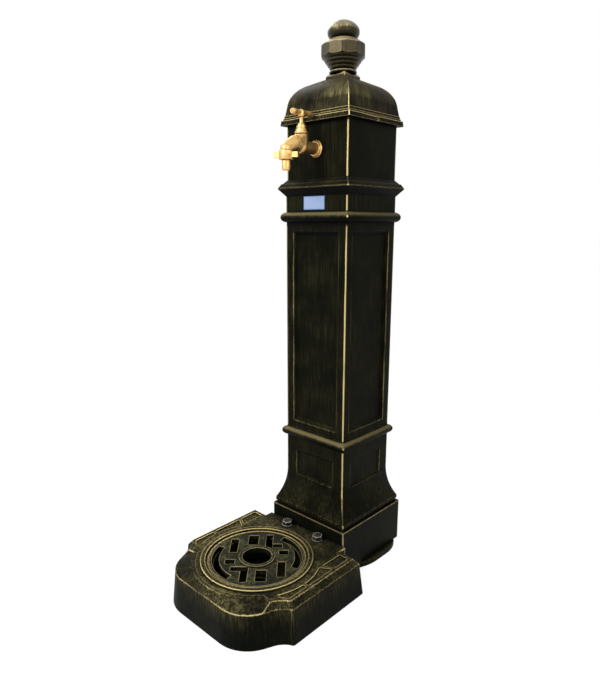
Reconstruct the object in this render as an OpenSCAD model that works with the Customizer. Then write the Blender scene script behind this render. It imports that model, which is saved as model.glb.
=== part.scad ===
// Garden standpipe: a square cast column with a bib tap at its head and a drain tray at its foot.
// Units are millimetres, +Z is up, the front faces -Y and the origin lies under the middle of the box.

/* [Overall] */
// height from the ground to the top of the finial
overall_h = 1000; // [960:1:1100]
// width of the drain tray
overall_w = 290; // [282:1:320]
// depth from the front of the tray to the back of the sole plate
overall_d = 470; // [466:1:500]

/* [Tray] */
// height of the tray deck above the ground
tray_h = 70; // [66:1:80]
// height of the tray rim above the ground
rim_h = 60; // [54:1:62]
// wall thickness of the tray
tray_wall = 7; // [5:0.5:8]
// thickness of the tray deck
deck_t = 8; // [6:0.5:9]
// inward lean of the tray walls up to the rim
tray_draft = 6; // [3:0.5:7]
// width of the sloping rim
rim_w = 9; // [7:0.5:10]
// rear corner radius of the tray at the ground
tray_corner_r = 8; // [6:0.5:12]
// corner radius of the tray shoulders
shoulder_r = 6; // [4:0.5:7]
// how far the front lobe stands out from the shoulders
lobe_reach = 82; // [78:1:86]
// distance from the tray sides in to the line of the lobe flanks
shoulder_in = 11.5; // [9:0.5:13]
// angle of the lobe flanks from the front line
lobe_flank = 66; // [64:1:68]
// corner radius of the lobe
lobe_corner_r = 68; // [60:1:70]
// inner radius between lobe and shoulder
lobe_fillet_r = 45; // [40:1:48]
// distance from the tray wings back to the plinth
wing_gap = 0.5; // [0:0.5:10]
// extra lean of the rear walls of the wings
wing_lean = 3; // [0:0.5:6]
// how far the tray block stands out beside the plinth
block_side = 6; // [4:0.5:8]
// width of the plain border round the sunk panels
border_w = 7; // [5:0.5:8]
// height of the border above the platform round the grate
border_lip = 0.4; // [0.3:0.1:0.8]
// depth of the sunk panels below the border
deck_sink = 2; // [1:0.25:3]
// distance from the front of the tray to the platform round the grate
platform_front = 16; // [14:0.5:18]
// radius of the platform as a share of the grate radius
platform_share = 1.36; // [1.34:0.01:1.38]
// middle radius of the raised ring as a share of the grate radius
ring_share = 1.135; // [1.125:0.005:1.15]
// width of the raised ring
ring_w = 9.5; // [7:0.5:10]
// height of the raised ring
ring_h = 3; // [2:0.25:4]
// width of the ribs between the sunk panels
rib_w = 6; // [4:0.5:8]
// angle of the slanting ribs
rib_angle = 28.5; // [24:0.5:32]
// distance from the front of the tray to the straps across the shoulders
strap_setback = 63; // [60:1:66]
// width of the straps
strap_w = 19; // [14:1:22]

/* [Drain] */
// radius of the grate as a share of the tray depth
grate_share = 0.324; // [0.318:0.001:0.326]
// radius of the drain basin as a share of the grate radius
basin_share = 0.912; // [0.87:0.01:0.93]
// wall thickness of the basin
basin_wall = 5; // [4:0.5:6]
// thickness of the basin floor
basin_floor_t = 8; // [6:0.5:10]
// height of the basin floor above the ground
basin_lift = 6; // [4:0.5:10]
// radius of the drain hole
drain_r = 20; // [16:0.5:25]
// thickness of the grate
grate_t = 8; // [7:0.5:10]
// gap round the grate
grate_gap = 1; // [0.5:0.25:1.5]
// turn of the slot pattern
grate_turn = 43; // [0:1:90]
// radius of the hub hole as a share of the grate radius
hub_share = 0.31; // [0.26:0.005:0.315]
// width of the lip round the hub hole
hub_lip_w = 6.5; // [4:0.5:7]
// height of the lip round the hub hole
hub_lip_h = 2.5; // [1.5:0.5:4]
// inner radius of the curved slots as a share of the grate radius
arc_slot_share = 0.8; // [0.79:0.005:0.83]
// width of the curved slots as a share of the grate radius
arc_slot_span = 0.15; // [0.11:0.005:0.15]
// angle that a curved slot covers
arc_slot_angle = 80; // [60:1:86]

/* [Tray bolts] */
// radius of the tray bolts
tray_bolt_r = 5; // [4:0.5:6]
// distance between the tray bolts
tray_bolt_pitch = 80; // [70:1:86]
// distance from the tray bolts back to the plinth
tray_bolt_gap = 13; // [12.5:0.5:15]
// length of the tray bolts under the head
tray_bolt_len = 40; // [30:1:50]
// radius of the washers
washer_r = 11; // [9:0.5:11.5]
// thickness of the washers
washer_t = 2; // [1.5:0.5:3]

/* [Sole plate] */
// thickness of the sole plate
sole_t = 11; // [9:0.5:14]
// radius of the rounded front of the sole plate
sole_r = 102; // [98:0.5:106]
// distance of the sole plate middle behind the column axis
sole_shift = 6; // [3:0.5:10]
// distance from the column axis to the back of the sole plate
sole_back = 114; // [112:0.5:118]
// radius of the rear corners of the sole plate
sole_corner_r = 72; // [60:1:84]
// radius of the anchor holes
anchor_r = 4.5; // [3.5:0.25:5]
// distance between the anchor holes
anchor_pitch = 90; // [70:1:96]
// distance of the anchor holes from the back edge
anchor_inset = 13; // [12:0.5:13.5]

/* [Pedestal] */
// width of the plinth
plinth_w = 184; // [180:0.5:186]
// height of the plinth
plinth_h = 85; // [78:1:92]
// width of the step on the plinth
step_w = 177.4; // [172:0.2:177.6]
// height of the step
step_h = 11.5; // [8:0.5:14]
// height of the groove under the step
groove_h = 5; // [3:0.5:7]
// depth of the groove behind the step
groove_d = 2.5; // [1:0.25:3]
// height of the hollow flare
flare_h = 67.5; // [58:0.5:74]
// width of the panelled die
die_w = 142.4; // [138:0.2:146]
// height of the die above the flare
die_h = 69.5; // [64:0.5:76]
// height of the torus mouldings
torus_h = 18; // [17:0.5:20]
// how far the torus mouldings stand out
torus_out = 8; // [6:0.25:8.5]
// width of the die panels
die_panel_w = 93; // [80:1:100]
// height of the die panels
die_panel_h = 52; // [44:1:54]
// distance from the top of the die to its panels
die_panel_drop = 26.5; // [20:0.5:28]
// depth of the die panels
die_panel_sink = 2.5; // [1.5:0.25:3.5]

/* [Shaft] */
// width of the shaft
shaft_w = 142; // [138:0.5:146]
// width of the shaft panels
panel_w = 108; // [96:1:112]
// distance from the shaft ends to the panels
panel_end = 16; // [12:0.5:24]
// depth of the shaft panels
panel_sink = 6; // [4:0.25:7]
// width of the sloping edge of the shaft panels
panel_reveal = 7; // [4:0.5:9]

/* [Head] */
// height of the frieze under the cornice
frieze_h = 28; // [24:0.5:32]
// width of the frieze
frieze_w = 142.6; // [138:0.2:146]
// height of the cornice
cornice_h = 29; // [27:0.5:32]
// width of the cornice at its edge
cornice_w = 164.4; // [158:0.2:168]
// height of the sloping underside of the cornice
cornice_slope_h = 13; // [10:0.5:14]
// height of the cornice edge
cornice_edge_h = 2; // [1.5:0.25:3]
// height of the steep slope above the cornice edge
cornice_rise = 7; // [5:0.25:8]
// how far the steep slope leans in
cornice_lean = 4.5; // [3:0.25:5]
// width of the ledge on the steep slope
cornice_ledge = 1.5; // [1:0.25:2]
// width of the head box
box_w = 139; // [136:0.5:142]
// height of the head box up to the cap
box_h = 92.5; // [88:0.5:100]

/* [Cap] */
// width of the cap fascia
fascia_w = 157; // [154:0.5:160]
// height of the cap fascia
fascia_h = 9.25; // [8.5:0.25:11]
// inward lean of the fascia
fascia_lean = 1; // [0.5:0.25:2]
// height of the lower fillet
fillet_low_h = 3.5; // [2.5:0.25:5]
// width of the lower fillet
fillet_low_w = 149.5; // [148:0.5:151]
// height of the upper fillet
fillet_high_h = 4.5; // [3:0.25:6]
// width of the upper fillet
fillet_high_w = 147; // [146:0.5:147.5]
// width of the vault at its foot
vault_w = 145; // [143:0.5:145.5]
// height of the vault
vault_h = 60.5; // [56:0.5:64]
// height of the straight foot of the vault
vault_foot_h = 18; // [15:0.5:20]
// inward lean of the vault foot
vault_lean = 3; // [2:0.25:4]
// radius of the vault shoulder
vault_r = 43; // [41:0.5:45]
// angle at which the shoulder runs into the roof
vault_knee = 62; // [56:1:64]
// width of the flat top
vault_top_w = 44; // [43.5:0.5:50]
// how far the head box stands up inside the cap
cap_lap = 8; // [6:0.25:8]
// radius of the cap screws
cap_screw_r = 2; // [1.5:0.25:2.5]

/* [Finial] */
// width of the square foot
foot_w = 43; // [38:0.5:43]
// height of the square foot
foot_h = 9; // [7:0.5:11]
// radius of the collar
collar_r = 24.5; // [22:0.25:26]
// height of the collar
collar_h = 5; // [4:0.25:7]
// radius of the stem above the collar
stem_r = 21.5; // [18:0.25:22]
// height of the beaded stem
stem_h = 21.5; // [18:0.5:24]
// radius of the beads on the stem
bead_r = 6; // [5:0.25:6.25]
// how far the core of the stem lies behind the line of the beads
bead_sink = 1.5; // [1:0.25:2]
// radius of the cup
cup_r = 39.5; // [36:0.25:42]
// height of the cup band
cup_h = 20; // [16:0.5:24]
// how far the flats cut into the cup band
cup_flat = 1.7; // [0.5:0.1:1.8]
// number of flats round the cup
cup_flats = 10; // [8:1:12]
// height of the rounded cup shoulder
cup_shoulder_h = 8.5; // [7:0.5:11]
// radius of the ball at its widest
ball_r = 28; // [26:0.25:30]
// height of the flattened ball
ball_h = 31.5; // [29:0.5:33]
// height of the top of the ball above its widest line
ball_rise = 19.5; // [18:0.25:21]
// radius of the curve round the side of the ball
ball_side_r = 13; // [11:0.25:15]
// depth of the stud in the finial
stud_in = 24; // [18:0.5:28]

/* [Castings] */
// wall thickness of the castings
cast_wall = 8; // [7:0.25:9]
// thickness of the inner flanges
flange_t = 8; // [6:0.5:10]
// distance between the bolts of the inner flanges
joint_pitch = 92; // [86:1:94]
// radius of the flange bolts
joint_bolt_r = 4; // [3:0.5:4.5]
// width of the opening in the inner flanges
flange_gap_w = 50; // [40:1:54]
// depth of the opening in the inner flanges
flange_gap_d = 98; // [94:1:100]
// depth of the small screws in the castings
screw_in = 3; // [2:0.25:3.5]

/* [Tap] */
// depth of the inlet axis below the cap
tap_drop = 44; // [40:0.5:48]
// distance from the head to the spindle axis
spindle_reach = 37.5; // [34:0.5:40]
// distance from the head to the spout axis
spout_reach = 74; // [70:0.5:80]
// radius of the inlet tube
inlet_r = 10; // [9.5:0.25:10.5]
// radius of the inlet bore
inlet_bore_r = 4.5; // [3.5:0.25:4.75]
// radius of the tap tower
tower_r = 11.25; // [11:0.25:12.5]
// height of the tower above the inlet axis
tower_h = 20; // [19:0.25:22]
// radius of the valve chamber
chamber_r = 8.6; // [8.2:0.1:8.8]
// height of the valve seat above the inlet axis
seat_h = 6; // [5.75:0.25:6.25]
// radius of the hole in the valve seat
seat_r = 4.5; // [4:0.25:5]
// outer radius of the spout
spout_r = 10; // [9.5:0.25:10.5]
// radius of the spout bore
spout_bore_r = 6; // [5:0.25:6.5]
// height of the spout axis above the inlet axis at the spindle
spout_rise = 9; // [8:0.25:9.5]
// depth of the spout bend below the inlet axis
spout_low = 6; // [5:0.25:6.5]
// depth of the spout collar below the inlet axis
spout_drop = 8; // [7.5:0.25:9]
// distance from the spindle to the start of the spout bore
spout_bore_in = 10; // [9.5:0.25:10.5]
// radius of the passage from the valve chamber to the spout
passage_r = 3.5; // [3:0.1:3.6]
// radius of the spout thread
spout_thread_r = 9; // [8.5:0.25:9.25]
// length of the spout thread
spout_thread_len = 9; // [7:0.5:11]
// radius of the wall flange
rose_r = 14.5; // [13.5:0.25:18]
// thickness of the wall flange
rose_t = 6.5; // [5:0.25:8]

/* [Tap headgear] */
// thickness of the bonnet washer
bonnet_washer_t = 1; // [0.75:0.25:1.5]
// length of the bonnet thread
bonnet_thread_len = 5; // [4:0.25:5]
// radius of the bonnet flange
bonnet_r = 11; // [10:0.25:11]
// height of the bonnet flange
bonnet_flange_h = 3.5; // [2.5:0.25:4.5]
// radius of the bonnet shoulder
bonnet_shoulder_r = 9.5; // [8.75:0.25:9.75]
// height of the bonnet shoulder
bonnet_shoulder_h = 3.5; // [3.25:0.25:4.5]
// radius of the bonnet neck
bonnet_neck_r = 6.5; // [6:0.1:6.6]
// height of the bonnet neck
bonnet_neck_h = 4; // [3.5:0.25:5]
// radius of the gland nut
gland_r = 8; // [7.5:0.25:8.5]
// height of the gland nut above the neck
gland_top_h = 5; // [4:0.25:7]
// radius of the valve carrier stem
carrier_r = 4.6; // [4.4:0.05:4.8]
// radius of the spindle
spindle_r = 3.2; // [3:0.05:3.4]
// radius of the spindle thread
spindle_thread_r = 2.6; // [2.3:0.05:2.8]
// height of the tee bar above the inlet axis
tee_h = 54; // [50:0.5:58]
// length of the tee bar
tee_len = 46; // [40:0.5:54]
// radius of the tee bar ends
tee_end_r = 4.7; // [4.5:0.1:5.5]
// radius of the tee bar beside its hub
tee_waist_r = 4; // [3.3:0.1:4.2]
// radius of the tee hub
tee_hub_r = 5.6; // [5:0.1:6.5]
// valve travel from closed to open
valve_lift = 4; // [3:0.25:4]
// radius of the tap washer
tap_washer_r = 7; // [6.5:0.1:7.3]
// thickness of the tap washer
tap_washer_t = 2; // [1.5:0.25:2.25]

/* [Hose union] */
// radius of the union nut
union_r = 12; // [11.5:0.25:13]
// height of the union nut
union_h = 14.5; // [14:0.25:16]
// distance from the nut axis to the lug ends
lug_reach = 21; // [18:0.5:24]
// width of the lugs
lug_w = 8.5; // [7:0.25:10]
// turn of the lugs at rest
lug_turn = 25; // [0:1:90]
// radius of the hose tail
tail_r = 7.25; // [6.5:0.05:7.5]
// radius of the hose tail bore
tail_bore_r = 5; // [4:0.25:5.25]
// length of the hose tail below the nut
tail_len = 17; // [15:0.5:24]

/* [Water pipe] */
// radius of the riser pipe
riser_r = 7.5; // [7:0.25:8]
// wall thickness of the pipes
pipe_wall = 1; // [0.8:0.1:1.2]
// distance of the riser behind the inside of the head
riser_setback = 27; // [25:0.5:28]
// wall thickness of the elbows
elbow_wall = 3; // [2.5:0.25:3.5]
// height of the supply pipe above the ground
supply_h = 60; // [56:1:66]
// radius of the supply pipe
supply_r = 10.4; // [9.5:0.1:11]
// length of the supply pipe outside the plinth
supply_out = 20; // [18:0.5:21]
// height of the pipe clip above the ground
clip_h = 470; // [400:1:520]

/* [Clearances] */
// running clearance of turning and sliding parts
run_gap = 0.05; // [0.02:0.01:0.08]
// clearance of screwed joints
thread_gap = 0.1; // [0.05:0.05:0.15]
// clearance of pieces that lie next to each other
seat_gap = 0.4; // [0.3:0.05:0.5]

/* [Hidden] */
$fn = 96;
over = 1;
column_y = overall_d/2 - sole_back;
plinth_z = sole_t;
step_z = plinth_z + plinth_h;
flare_z = step_z + step_h;
die_z = flare_z + flare_h;
torus_low_z = die_z + die_h;
shaft_z = torus_low_z + torus_h;
finial_h = foot_h + collar_h + stem_h + cup_h + cup_shoulder_h + ball_h;
finial_z = overall_h - finial_h;
vault_z = finial_z - vault_h;
fillet_high_z = vault_z - fillet_high_h;
fillet_low_z = fillet_high_z - fillet_low_h;
cap_z = fillet_low_z - fascia_h;
box_z = cap_z - box_h;
cornice_z = box_z - cornice_h;
frieze_z = cornice_z - frieze_h;
head_z = frieze_z - torus_h;
shaft_h = head_z - shaft_z;
step_half = step_w/2;
die_half = die_w/2;
flare_in = step_half - die_half;
flare_r = (flare_h*flare_h + flare_in*flare_in)/(2*flare_in);
torus_r = (torus_h*torus_h/4 + torus_out*torus_out)/(2*torus_out);
plinth_room_w = plinth_w - 2*cast_wall;
die_room_w = die_w - 2*cast_wall;
shaft_room_w = shaft_w - 2*(cast_wall + panel_sink);
head_room_w = box_w - 2*cast_wall;
vault_beta = atan(vault_lean/vault_foot_h);
vault_cx = vault_w/2 - vault_lean - vault_r*cos(vault_beta);
vault_cz = vault_foot_h - vault_r*sin(vault_beta);
front_y = -overall_d/2;
shoulder_y = front_y + lobe_reach;
plinth_y = column_y - plinth_w/2;
wing_y = plinth_y - wing_gap;
strap_y = front_y + strap_setback;
tray_d = plinth_y - front_y;
block_w = plinth_w + 2*block_side;
grate_r = tray_d*grate_share;
ring_r = grate_r*ring_share;
platform_r = grate_r*platform_share;
basin_r = grate_r*basin_share;
hub_r = grate_r*hub_share;
ring_y = front_y + platform_front + platform_r;
strap_turn = asin((ring_y - strap_y)/platform_r);
room_top = tray_h - deck_t;
deck_low = room_top - over/2;
wall_top = rim_h - deck_t;
deck_z = tray_h - border_lip;
rim_inset = tray_draft + rim_w;
block_y = wing_y - wing_lean - rim_inset - border_w - over;
grate_z = deck_z - grate_t;
grate_bars = [[-0.61, 0.175, 0.165, 0.515], [-0.235, 0.465, 0.22, 0.375], [0.15, 0.49, 0.15, 0.375],
    [0.15, 0.35, 0.365, 0.15], [-0.655, -0.255, 0.2, 0.165]];
lobe_half = overall_w/2 - shoulder_in;
lobe_cy = front_y + lobe_corner_r;
lobe_cx = lobe_half - (lobe_corner_r - cos(lobe_flank)*(lobe_cy - shoulder_y))/sin(lobe_flank);
tray_bolt_y = plinth_y - tray_bolt_gap;
hex_r = 1.95;
face_y = column_y - box_w/2;
tap_z = cap_z - tap_drop;
spindle_y = face_y - spindle_reach;
spout_y = face_y - spout_reach;
bend_ease = 0.1;
spout_slope = atan((spout_rise + spout_low)/(spout_reach - spindle_reach));
spout_run = (spout_reach - spindle_reach)/cos(spout_slope);
bonnet_z = tower_h + bonnet_washer_t;
neck_z = bonnet_z + bonnet_flange_h + bonnet_shoulder_h;
neck_top = neck_z + bonnet_neck_h;
gland_top = neck_top + gland_top_h;
stop_z = neck_z - 1;
plate_t = 1.5;
plate_z = seat_h + tap_washer_t;
carrier_top = stop_z - 2.3 - valve_lift;
spindle_low = plate_z + valve_lift + 1.6;
hub_z = tee_h - 6;
hub_top = tee_h + 4;
packing_r = bonnet_neck_r - 1.5;
union_z = -spout_drop - seat_gap - union_h;
lip_t = 2.5;
tail_flange_t = 2;
tail_flange_z = union_z + lip_t + 0.3;
mouth_z = -spout_drop - spout_thread_len;
tail_z = union_z - tail_len;
inner_y = face_y + cast_wall;
riser_y = inner_y + riser_setback;
elbow_r = inlet_r + elbow_wall;
plate_w = 46;
plate_d = 4;
elbow_screw_pitch = 36;
tail_in = riser_setback - 8;
elbow_drop = 26;
socket_len = 14;
riser_top = tap_z - elbow_drop + socket_len;
riser_low = supply_h + elbow_drop - socket_len;
supply_end = column_y + plinth_w/2 + supply_out;
supply_start = riser_y + socket_len;
wall_nut_t = 8;
supply_free = supply_out - wall_nut_t;
clip_pitch = 36;
clip_w = 52;
clip_d = 14;
clip_t = 3;
clip_wall_y = column_y - shaft_room_w/2;

function arc(c, r, a0, a1, n) = [for (i = [0:n]) let (a = a0 + (a1 - a0)*i/n) c + r*[cos(a), sin(a)]];

// rear corner of a line that lies d inside the outline
function rear_corner(d) = let (q = max(tray_corner_r - d, 1), back = d + wing_lean*min(d/tray_draft, 1))
    arc([overall_w/2 - d - q, wing_y - back - q], q, 0, 90, 6);

// front and corner of the lobe, d inside the outline
function lobe_line(d) = concat(
    [for (i = [0:4]) [lobe_cx*(i + 0.5)/5, front_y + d]],
    arc([lobe_cx, lobe_cy], lobe_corner_r - d, -90, lobe_flank - 90, 10));

// hollow beside the lobe, shoulder and rear corner, d inside the hollow and s inside the sides
function side_line(d, s) = let (
    hollow_r = lobe_fillet_r + d,
    hollow = [lobe_half + lobe_fillet_r*tan(lobe_flank/2), shoulder_y - lobe_fillet_r],
    tip_x = overall_w/2 - shoulder_r - s,
    turn = acos(max(-1, min(0, (tip_x - hollow[0])/hollow_r))),
    tip_y = hollow[1] + hollow_r*sin(turn) + shoulder_r)
    concat(
        arc(hollow, hollow_r, lobe_flank + 90, turn, 6),
        arc([tip_x, tip_y], shoulder_r, -67.5, 0, 3),
        rear_corner(s));

// front edge of the platform, which becomes the upper line of the sloping lobe
function platform_line(e) = [for (i = [0:15]) let (a = -90 + (90 - strap_turn)*(i + 0.5)/15.5)
    [0, ring_y] + (platform_r - e)*[cos(a), sin(a)]];

function both_sides(h) = concat(h, [for (i = [len(h) - 1:-1:0]) [-h[i][0], h[i][1]]]);

// tray outline, d inside its line at the ground
function tray_ring(d) = both_sides(concat(lobe_line(d), side_line(d, d)));

// upper line of the sloping rim, e further in
function deck_ring(e) = both_sides(concat(platform_line(e), side_line(rim_inset + e, rim_inset + e)));

// rim of the tray: closed lines at given heights, joined one after the other
module tray_sweep(lines, heights) {
    n = len(lines[0]);
    m = len(lines);
    points = [for (k = [0:m - 1]) for (p = lines[k]) [p[0], p[1], heights[k]]];
    sides = [for (k = [0:m - 1]) for (i = [0:n - 1]) let (j = (i + 1)%n, u = (k + 1)%m)
        [[k*n + i, u*n + i, u*n + j], [k*n + i, u*n + j, k*n + j]]];
    polyhedron(points, [for (two = sides) for (side = two) side]);
}

module at_column() {
    translate([0, column_y, 0]) children();
}

module on_spindle() {
    translate([0, spindle_y, tap_z]) children();
}

module on_spout() {
    translate([0, spout_y, tap_z]) children();
}

// plane through the tap with x forward from the head and y up from the inlet axis
module tap_plane() {
    translate([0, face_y, tap_z]) rotate([90, 0, -90]) children();
}

// square moulding whose four sides meet in mitres, drawn as a half section
module mitred(size) {
    intersection() {
        rotate([90, 0, 0]) linear_extrude(size, center = true) two_sided() children();
        rotate([90, 0, 90]) linear_extrude(size, center = true) two_sided() children();
    }
}

module two_sided() {
    children();
    mirror([1, 0]) children();
}

module block(w, d, h) {
    translate([-w/2, -d/2, 0]) cube([w, d, h]);
}

module tube(r, bore, h) {
    difference() {
        cylinder(h = h, r = r);
        translate([0, 0, -over]) cylinder(h = h + 2*over, r = bore);
    }
}

module hexagon(r, h) {
    cylinder(h = h, r = r, $fn = 6);
}

module four_corners(pitch) {
    for (x = [-pitch/2, pitch/2])
        for (y = [-pitch/2, pitch/2])
            translate([x, y, 0]) children();
}

module four_faces(half, z) {
    for (a = [0:90:270])
        rotate(a) translate([0, -half, z]) children();
}

// panel sunk from the plane y = 0 towards +y, its edges sloping in all round
module sunk_panel(w, h, sink, reveal) {
    out = reveal*over/sink;
    intersection() {
        linear_extrude(h + 4*over, center = true)
            polygon([[-w/2 - out, -over], [w/2 + out, -over], [w/2 - reveal, sink], [reveal - w/2, sink]]);
        rotate([0, 90, 0]) linear_extrude(w + 4*over, center = true)
            polygon([[-h/2 - out, -over], [h/2 + out, -over], [h/2 - reveal, sink], [reveal - h/2, sink]]);
    }
}

module torus_section(half) {
    intersection() {
        translate([half + torus_out - torus_r, torus_h/2]) circle(torus_r);
        square([half + torus_out + over, torus_h]);
    }
    square([half, torus_h]);
}

module bolt(r, len, head_h) {
    translate([0, 0, -len]) cylinder(h = len, r = r);
    hexagon(hex_r*r, head_h);
}

module nut(r) {
    difference() {
        hexagon(hex_r*r, 1.6*r);
        translate([0, 0, -over]) cylinder(h = 1.6*r + 2*over, r = r + thread_gap);
    }
}

// raised parts of the deck: the platform, the ribs, the shoulder straps and the strip before the plinth
module deck_relief() {
    intersection() {
        polygon(deck_ring(border_w - over));
        union() {
            translate([0, ring_y]) circle(platform_r);
            translate([-overall_w/2, strap_y]) square([overall_w, strap_w]);
            translate([-block_w/2 - border_w, ring_y + platform_r/2]) square([block_w + 2*border_w, platform_r]);
            translate([0, ring_y]) for (a = [0, rib_angle, 180 - rib_angle, 180])
                rotate(a) translate([0, -rib_w/2]) square([overall_w, rib_w]);
        }
    }
}

module tray_shell() {
    foot = tray_ring(tray_wall + tray_draft);
    difference() {
        tray_sweep(
            [tray_ring(0), tray_ring(tray_draft), deck_ring(0), deck_ring(border_w), deck_ring(border_w), foot, foot],
            [0, rim_h, tray_h, tray_h, room_top, wall_top, 0]);
        translate([over - block_w/2, block_y, -over]) cube([block_w - 2*over, tray_h, 2*tray_h]);
    }
}

module tray_block() {
    start_y = block_y - over;
    difference() {
        translate([-block_w/2, start_y, 0]) cube([block_w, plinth_y - seat_gap - start_y, deck_z]);
        translate([tray_wall - block_w/2, start_y - over, -over])
            cube([block_w - 2*tray_wall, plinth_y - start_y + 2*over, deck_low + over]);
    }
}

module base_tray() {
    color("#4a3f2a")
    difference() {
        union() {
            tray_shell();
            tray_block();
            translate([0, 0, deck_low])
                linear_extrude(tray_h - deck_sink - deck_low) polygon(deck_ring(border_w - over));
            translate([0, 0, room_top]) linear_extrude(deck_z - room_top) deck_relief();
            translate([0, ring_y, basin_lift]) cylinder(h = room_top + over - basin_lift, r = basin_r + basin_wall);
            translate([0, ring_y, grate_z - basin_wall])
                cylinder(h = basin_wall + over, r = grate_r + grate_gap + basin_wall);
            translate([0, ring_y, deck_z - over])
                tube(ring_r + ring_w/2, ring_r - ring_w/2, ring_h + over);
        }
        translate([0, ring_y, basin_lift + basin_floor_t]) cylinder(h = tray_h, r = basin_r);
        translate([0, ring_y, grate_z]) cylinder(h = tray_h, r = grate_r + grate_gap);
        translate([0, ring_y, 0]) cylinder(h = tray_h, r = drain_r);
        for (x = [-tray_bolt_pitch/2, tray_bolt_pitch/2])
            translate([x, tray_bolt_y, 0]) cylinder(h = 2*tray_h, r = tray_bolt_r + seat_gap);
    }
}

// slots of the grate, drawn for a grate of radius 1
module grate_slots() {
    for (a = [0, 180])
        rotate(a) {
            intersection() {
                difference() {
                    circle(arc_slot_share + arc_slot_span);
                    circle(arc_slot_share);
                }
                rotate(14) polygon(concat([[0, 0]],
                    [for (b = [-arc_slot_angle/2, 0, arc_slot_angle/2]) 2*[cos(b), sin(b)]]));
            }
            for (bar = grate_bars)
                translate([bar[0], bar[1]]) square([bar[2], bar[3]]);
        }
}

module drain_grate() {
    color("#54482f")
    translate([0, ring_y, grate_z]) difference() {
        union() {
            cylinder(h = grate_t, r = grate_r);
            cylinder(h = grate_t + hub_lip_h, r = hub_r + hub_lip_w);
        }
        translate([0, 0, -over]) cylinder(h = tray_h, r = hub_r);
        translate([0, 0, -over]) linear_extrude(grate_t + 2*over) rotate(grate_turn) scale(grate_r) grate_slots();
    }
}

module tray_washers() {
    color("#8d8f92")
    for (x = [-tray_bolt_pitch/2, tray_bolt_pitch/2])
        translate([x, tray_bolt_y, deck_z]) tube(washer_r, tray_bolt_r + seat_gap, washer_t);
}

module tray_bolts() {
    color("#8d8f92")
    for (x = [-tray_bolt_pitch/2, tray_bolt_pitch/2])
        translate([x, tray_bolt_y, deck_z + washer_t]) bolt(tray_bolt_r, tray_bolt_len, 1.4*tray_bolt_r);
}

module sole_outline() {
    translate([0, sole_shift]) circle(sole_r);
    for (x = [sole_corner_r - sole_r, sole_r - sole_corner_r])
        translate([x, sole_back - sole_corner_r]) circle(sole_corner_r);
    translate([-sole_r, sole_shift]) square([2*sole_r, sole_back - sole_corner_r - sole_shift]);
    translate([sole_corner_r - sole_r, 0]) square([2*(sole_r - sole_corner_r), sole_back]);
}

module sole_plate() {
    boss_r = washer_r + 1;
    tongue_y = tray_bolt_y - column_y;
    color("#4a3f2a")
    difference() {
        union() {
            at_column() linear_extrude(sole_t) sole_outline();
            at_column() translate([-tray_bolt_pitch/2 - boss_r, tongue_y, 0])
                cube([tray_bolt_pitch + 2*boss_r, -tongue_y, sole_t]);
            for (x = [-tray_bolt_pitch/2, tray_bolt_pitch/2])
                translate([x, tray_bolt_y, 0]) cylinder(h = deck_low, r = boss_r);
        }
        for (x = [-tray_bolt_pitch/2, tray_bolt_pitch/2])
            translate([x, tray_bolt_y, deck_z + washer_t - tray_bolt_len - 2])
                cylinder(h = tray_h, r = tray_bolt_r + thread_gap);
        for (x = [-anchor_pitch/2, anchor_pitch/2])
            at_column() translate([x, sole_back - anchor_inset, -over]) cylinder(h = 2*sole_t, r = anchor_r);
        at_column() four_corners(joint_pitch) {
            translate([0, 0, -over]) cylinder(h = 2*sole_t, r = joint_bolt_r + seat_gap);
            translate([0, 0, -over]) cylinder(h = sole_t/2 + over, r = 2.3*joint_bolt_r);
        }
    }
}

module foot_bolts() {
    color("#8d8f92")
    at_column() four_corners(joint_pitch) translate([0, 0, sole_t/2]) rotate([180, 0, 0])
        bolt(joint_bolt_r, sole_t/2 + flange_t + 2*joint_bolt_r, sole_t/2 - 1);
}

module foot_nuts() {
    color("#8d8f92")
    at_column() four_corners(joint_pitch) translate([0, 0, sole_t + flange_t]) nut(joint_bolt_r);
}

module pedestal_section() {
    square([plinth_w/2, plinth_h]);
    square([step_half - groove_d, plinth_h + step_h]);
    translate([0, plinth_h + groove_h]) square([step_half, step_h - groove_h]);
    difference() {
        translate([0, plinth_h + groove_h]) square([step_half, die_z - step_z - groove_h]);
        translate([die_half + flare_r, die_z - plinth_z]) circle(flare_r, $fn = 240);
    }
    square([die_half, torus_low_z - plinth_z]);
    translate([0, torus_low_z - plinth_z]) torus_section(die_half);
}

module flange_holes() {
    block(flange_gap_w, flange_gap_d, 2*flange_t);
    four_corners(joint_pitch) cylinder(h = 2*flange_t, r = joint_bolt_r + seat_gap);
}

module pedestal() {
    panel_z = torus_low_z - die_panel_drop - die_panel_h/2;
    color("#3d3a2c")
    at_column() difference() {
        translate([0, 0, plinth_z]) mitred(2*plinth_w) pedestal_section();
        translate([0, 0, plinth_z + flange_t]) block(plinth_room_w, plinth_room_w, plinth_h - 2*flange_t);
        translate([0, 0, plinth_z + flange_t]) block(die_room_w, die_room_w, shaft_z - plinth_z - 2*flange_t);
        translate([0, 0, plinth_z - flange_t/2]) flange_holes();
        translate([0, 0, shaft_z - 1.5*flange_t]) flange_holes();
        four_faces(die_half, panel_z) sunk_panel(die_panel_w, die_panel_h, die_panel_sink, die_panel_sink);
        translate([0, 0, supply_h]) rotate([-90, 0, 0]) cylinder(h = plinth_w, r = supply_r + seat_gap);
    }
}

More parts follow.
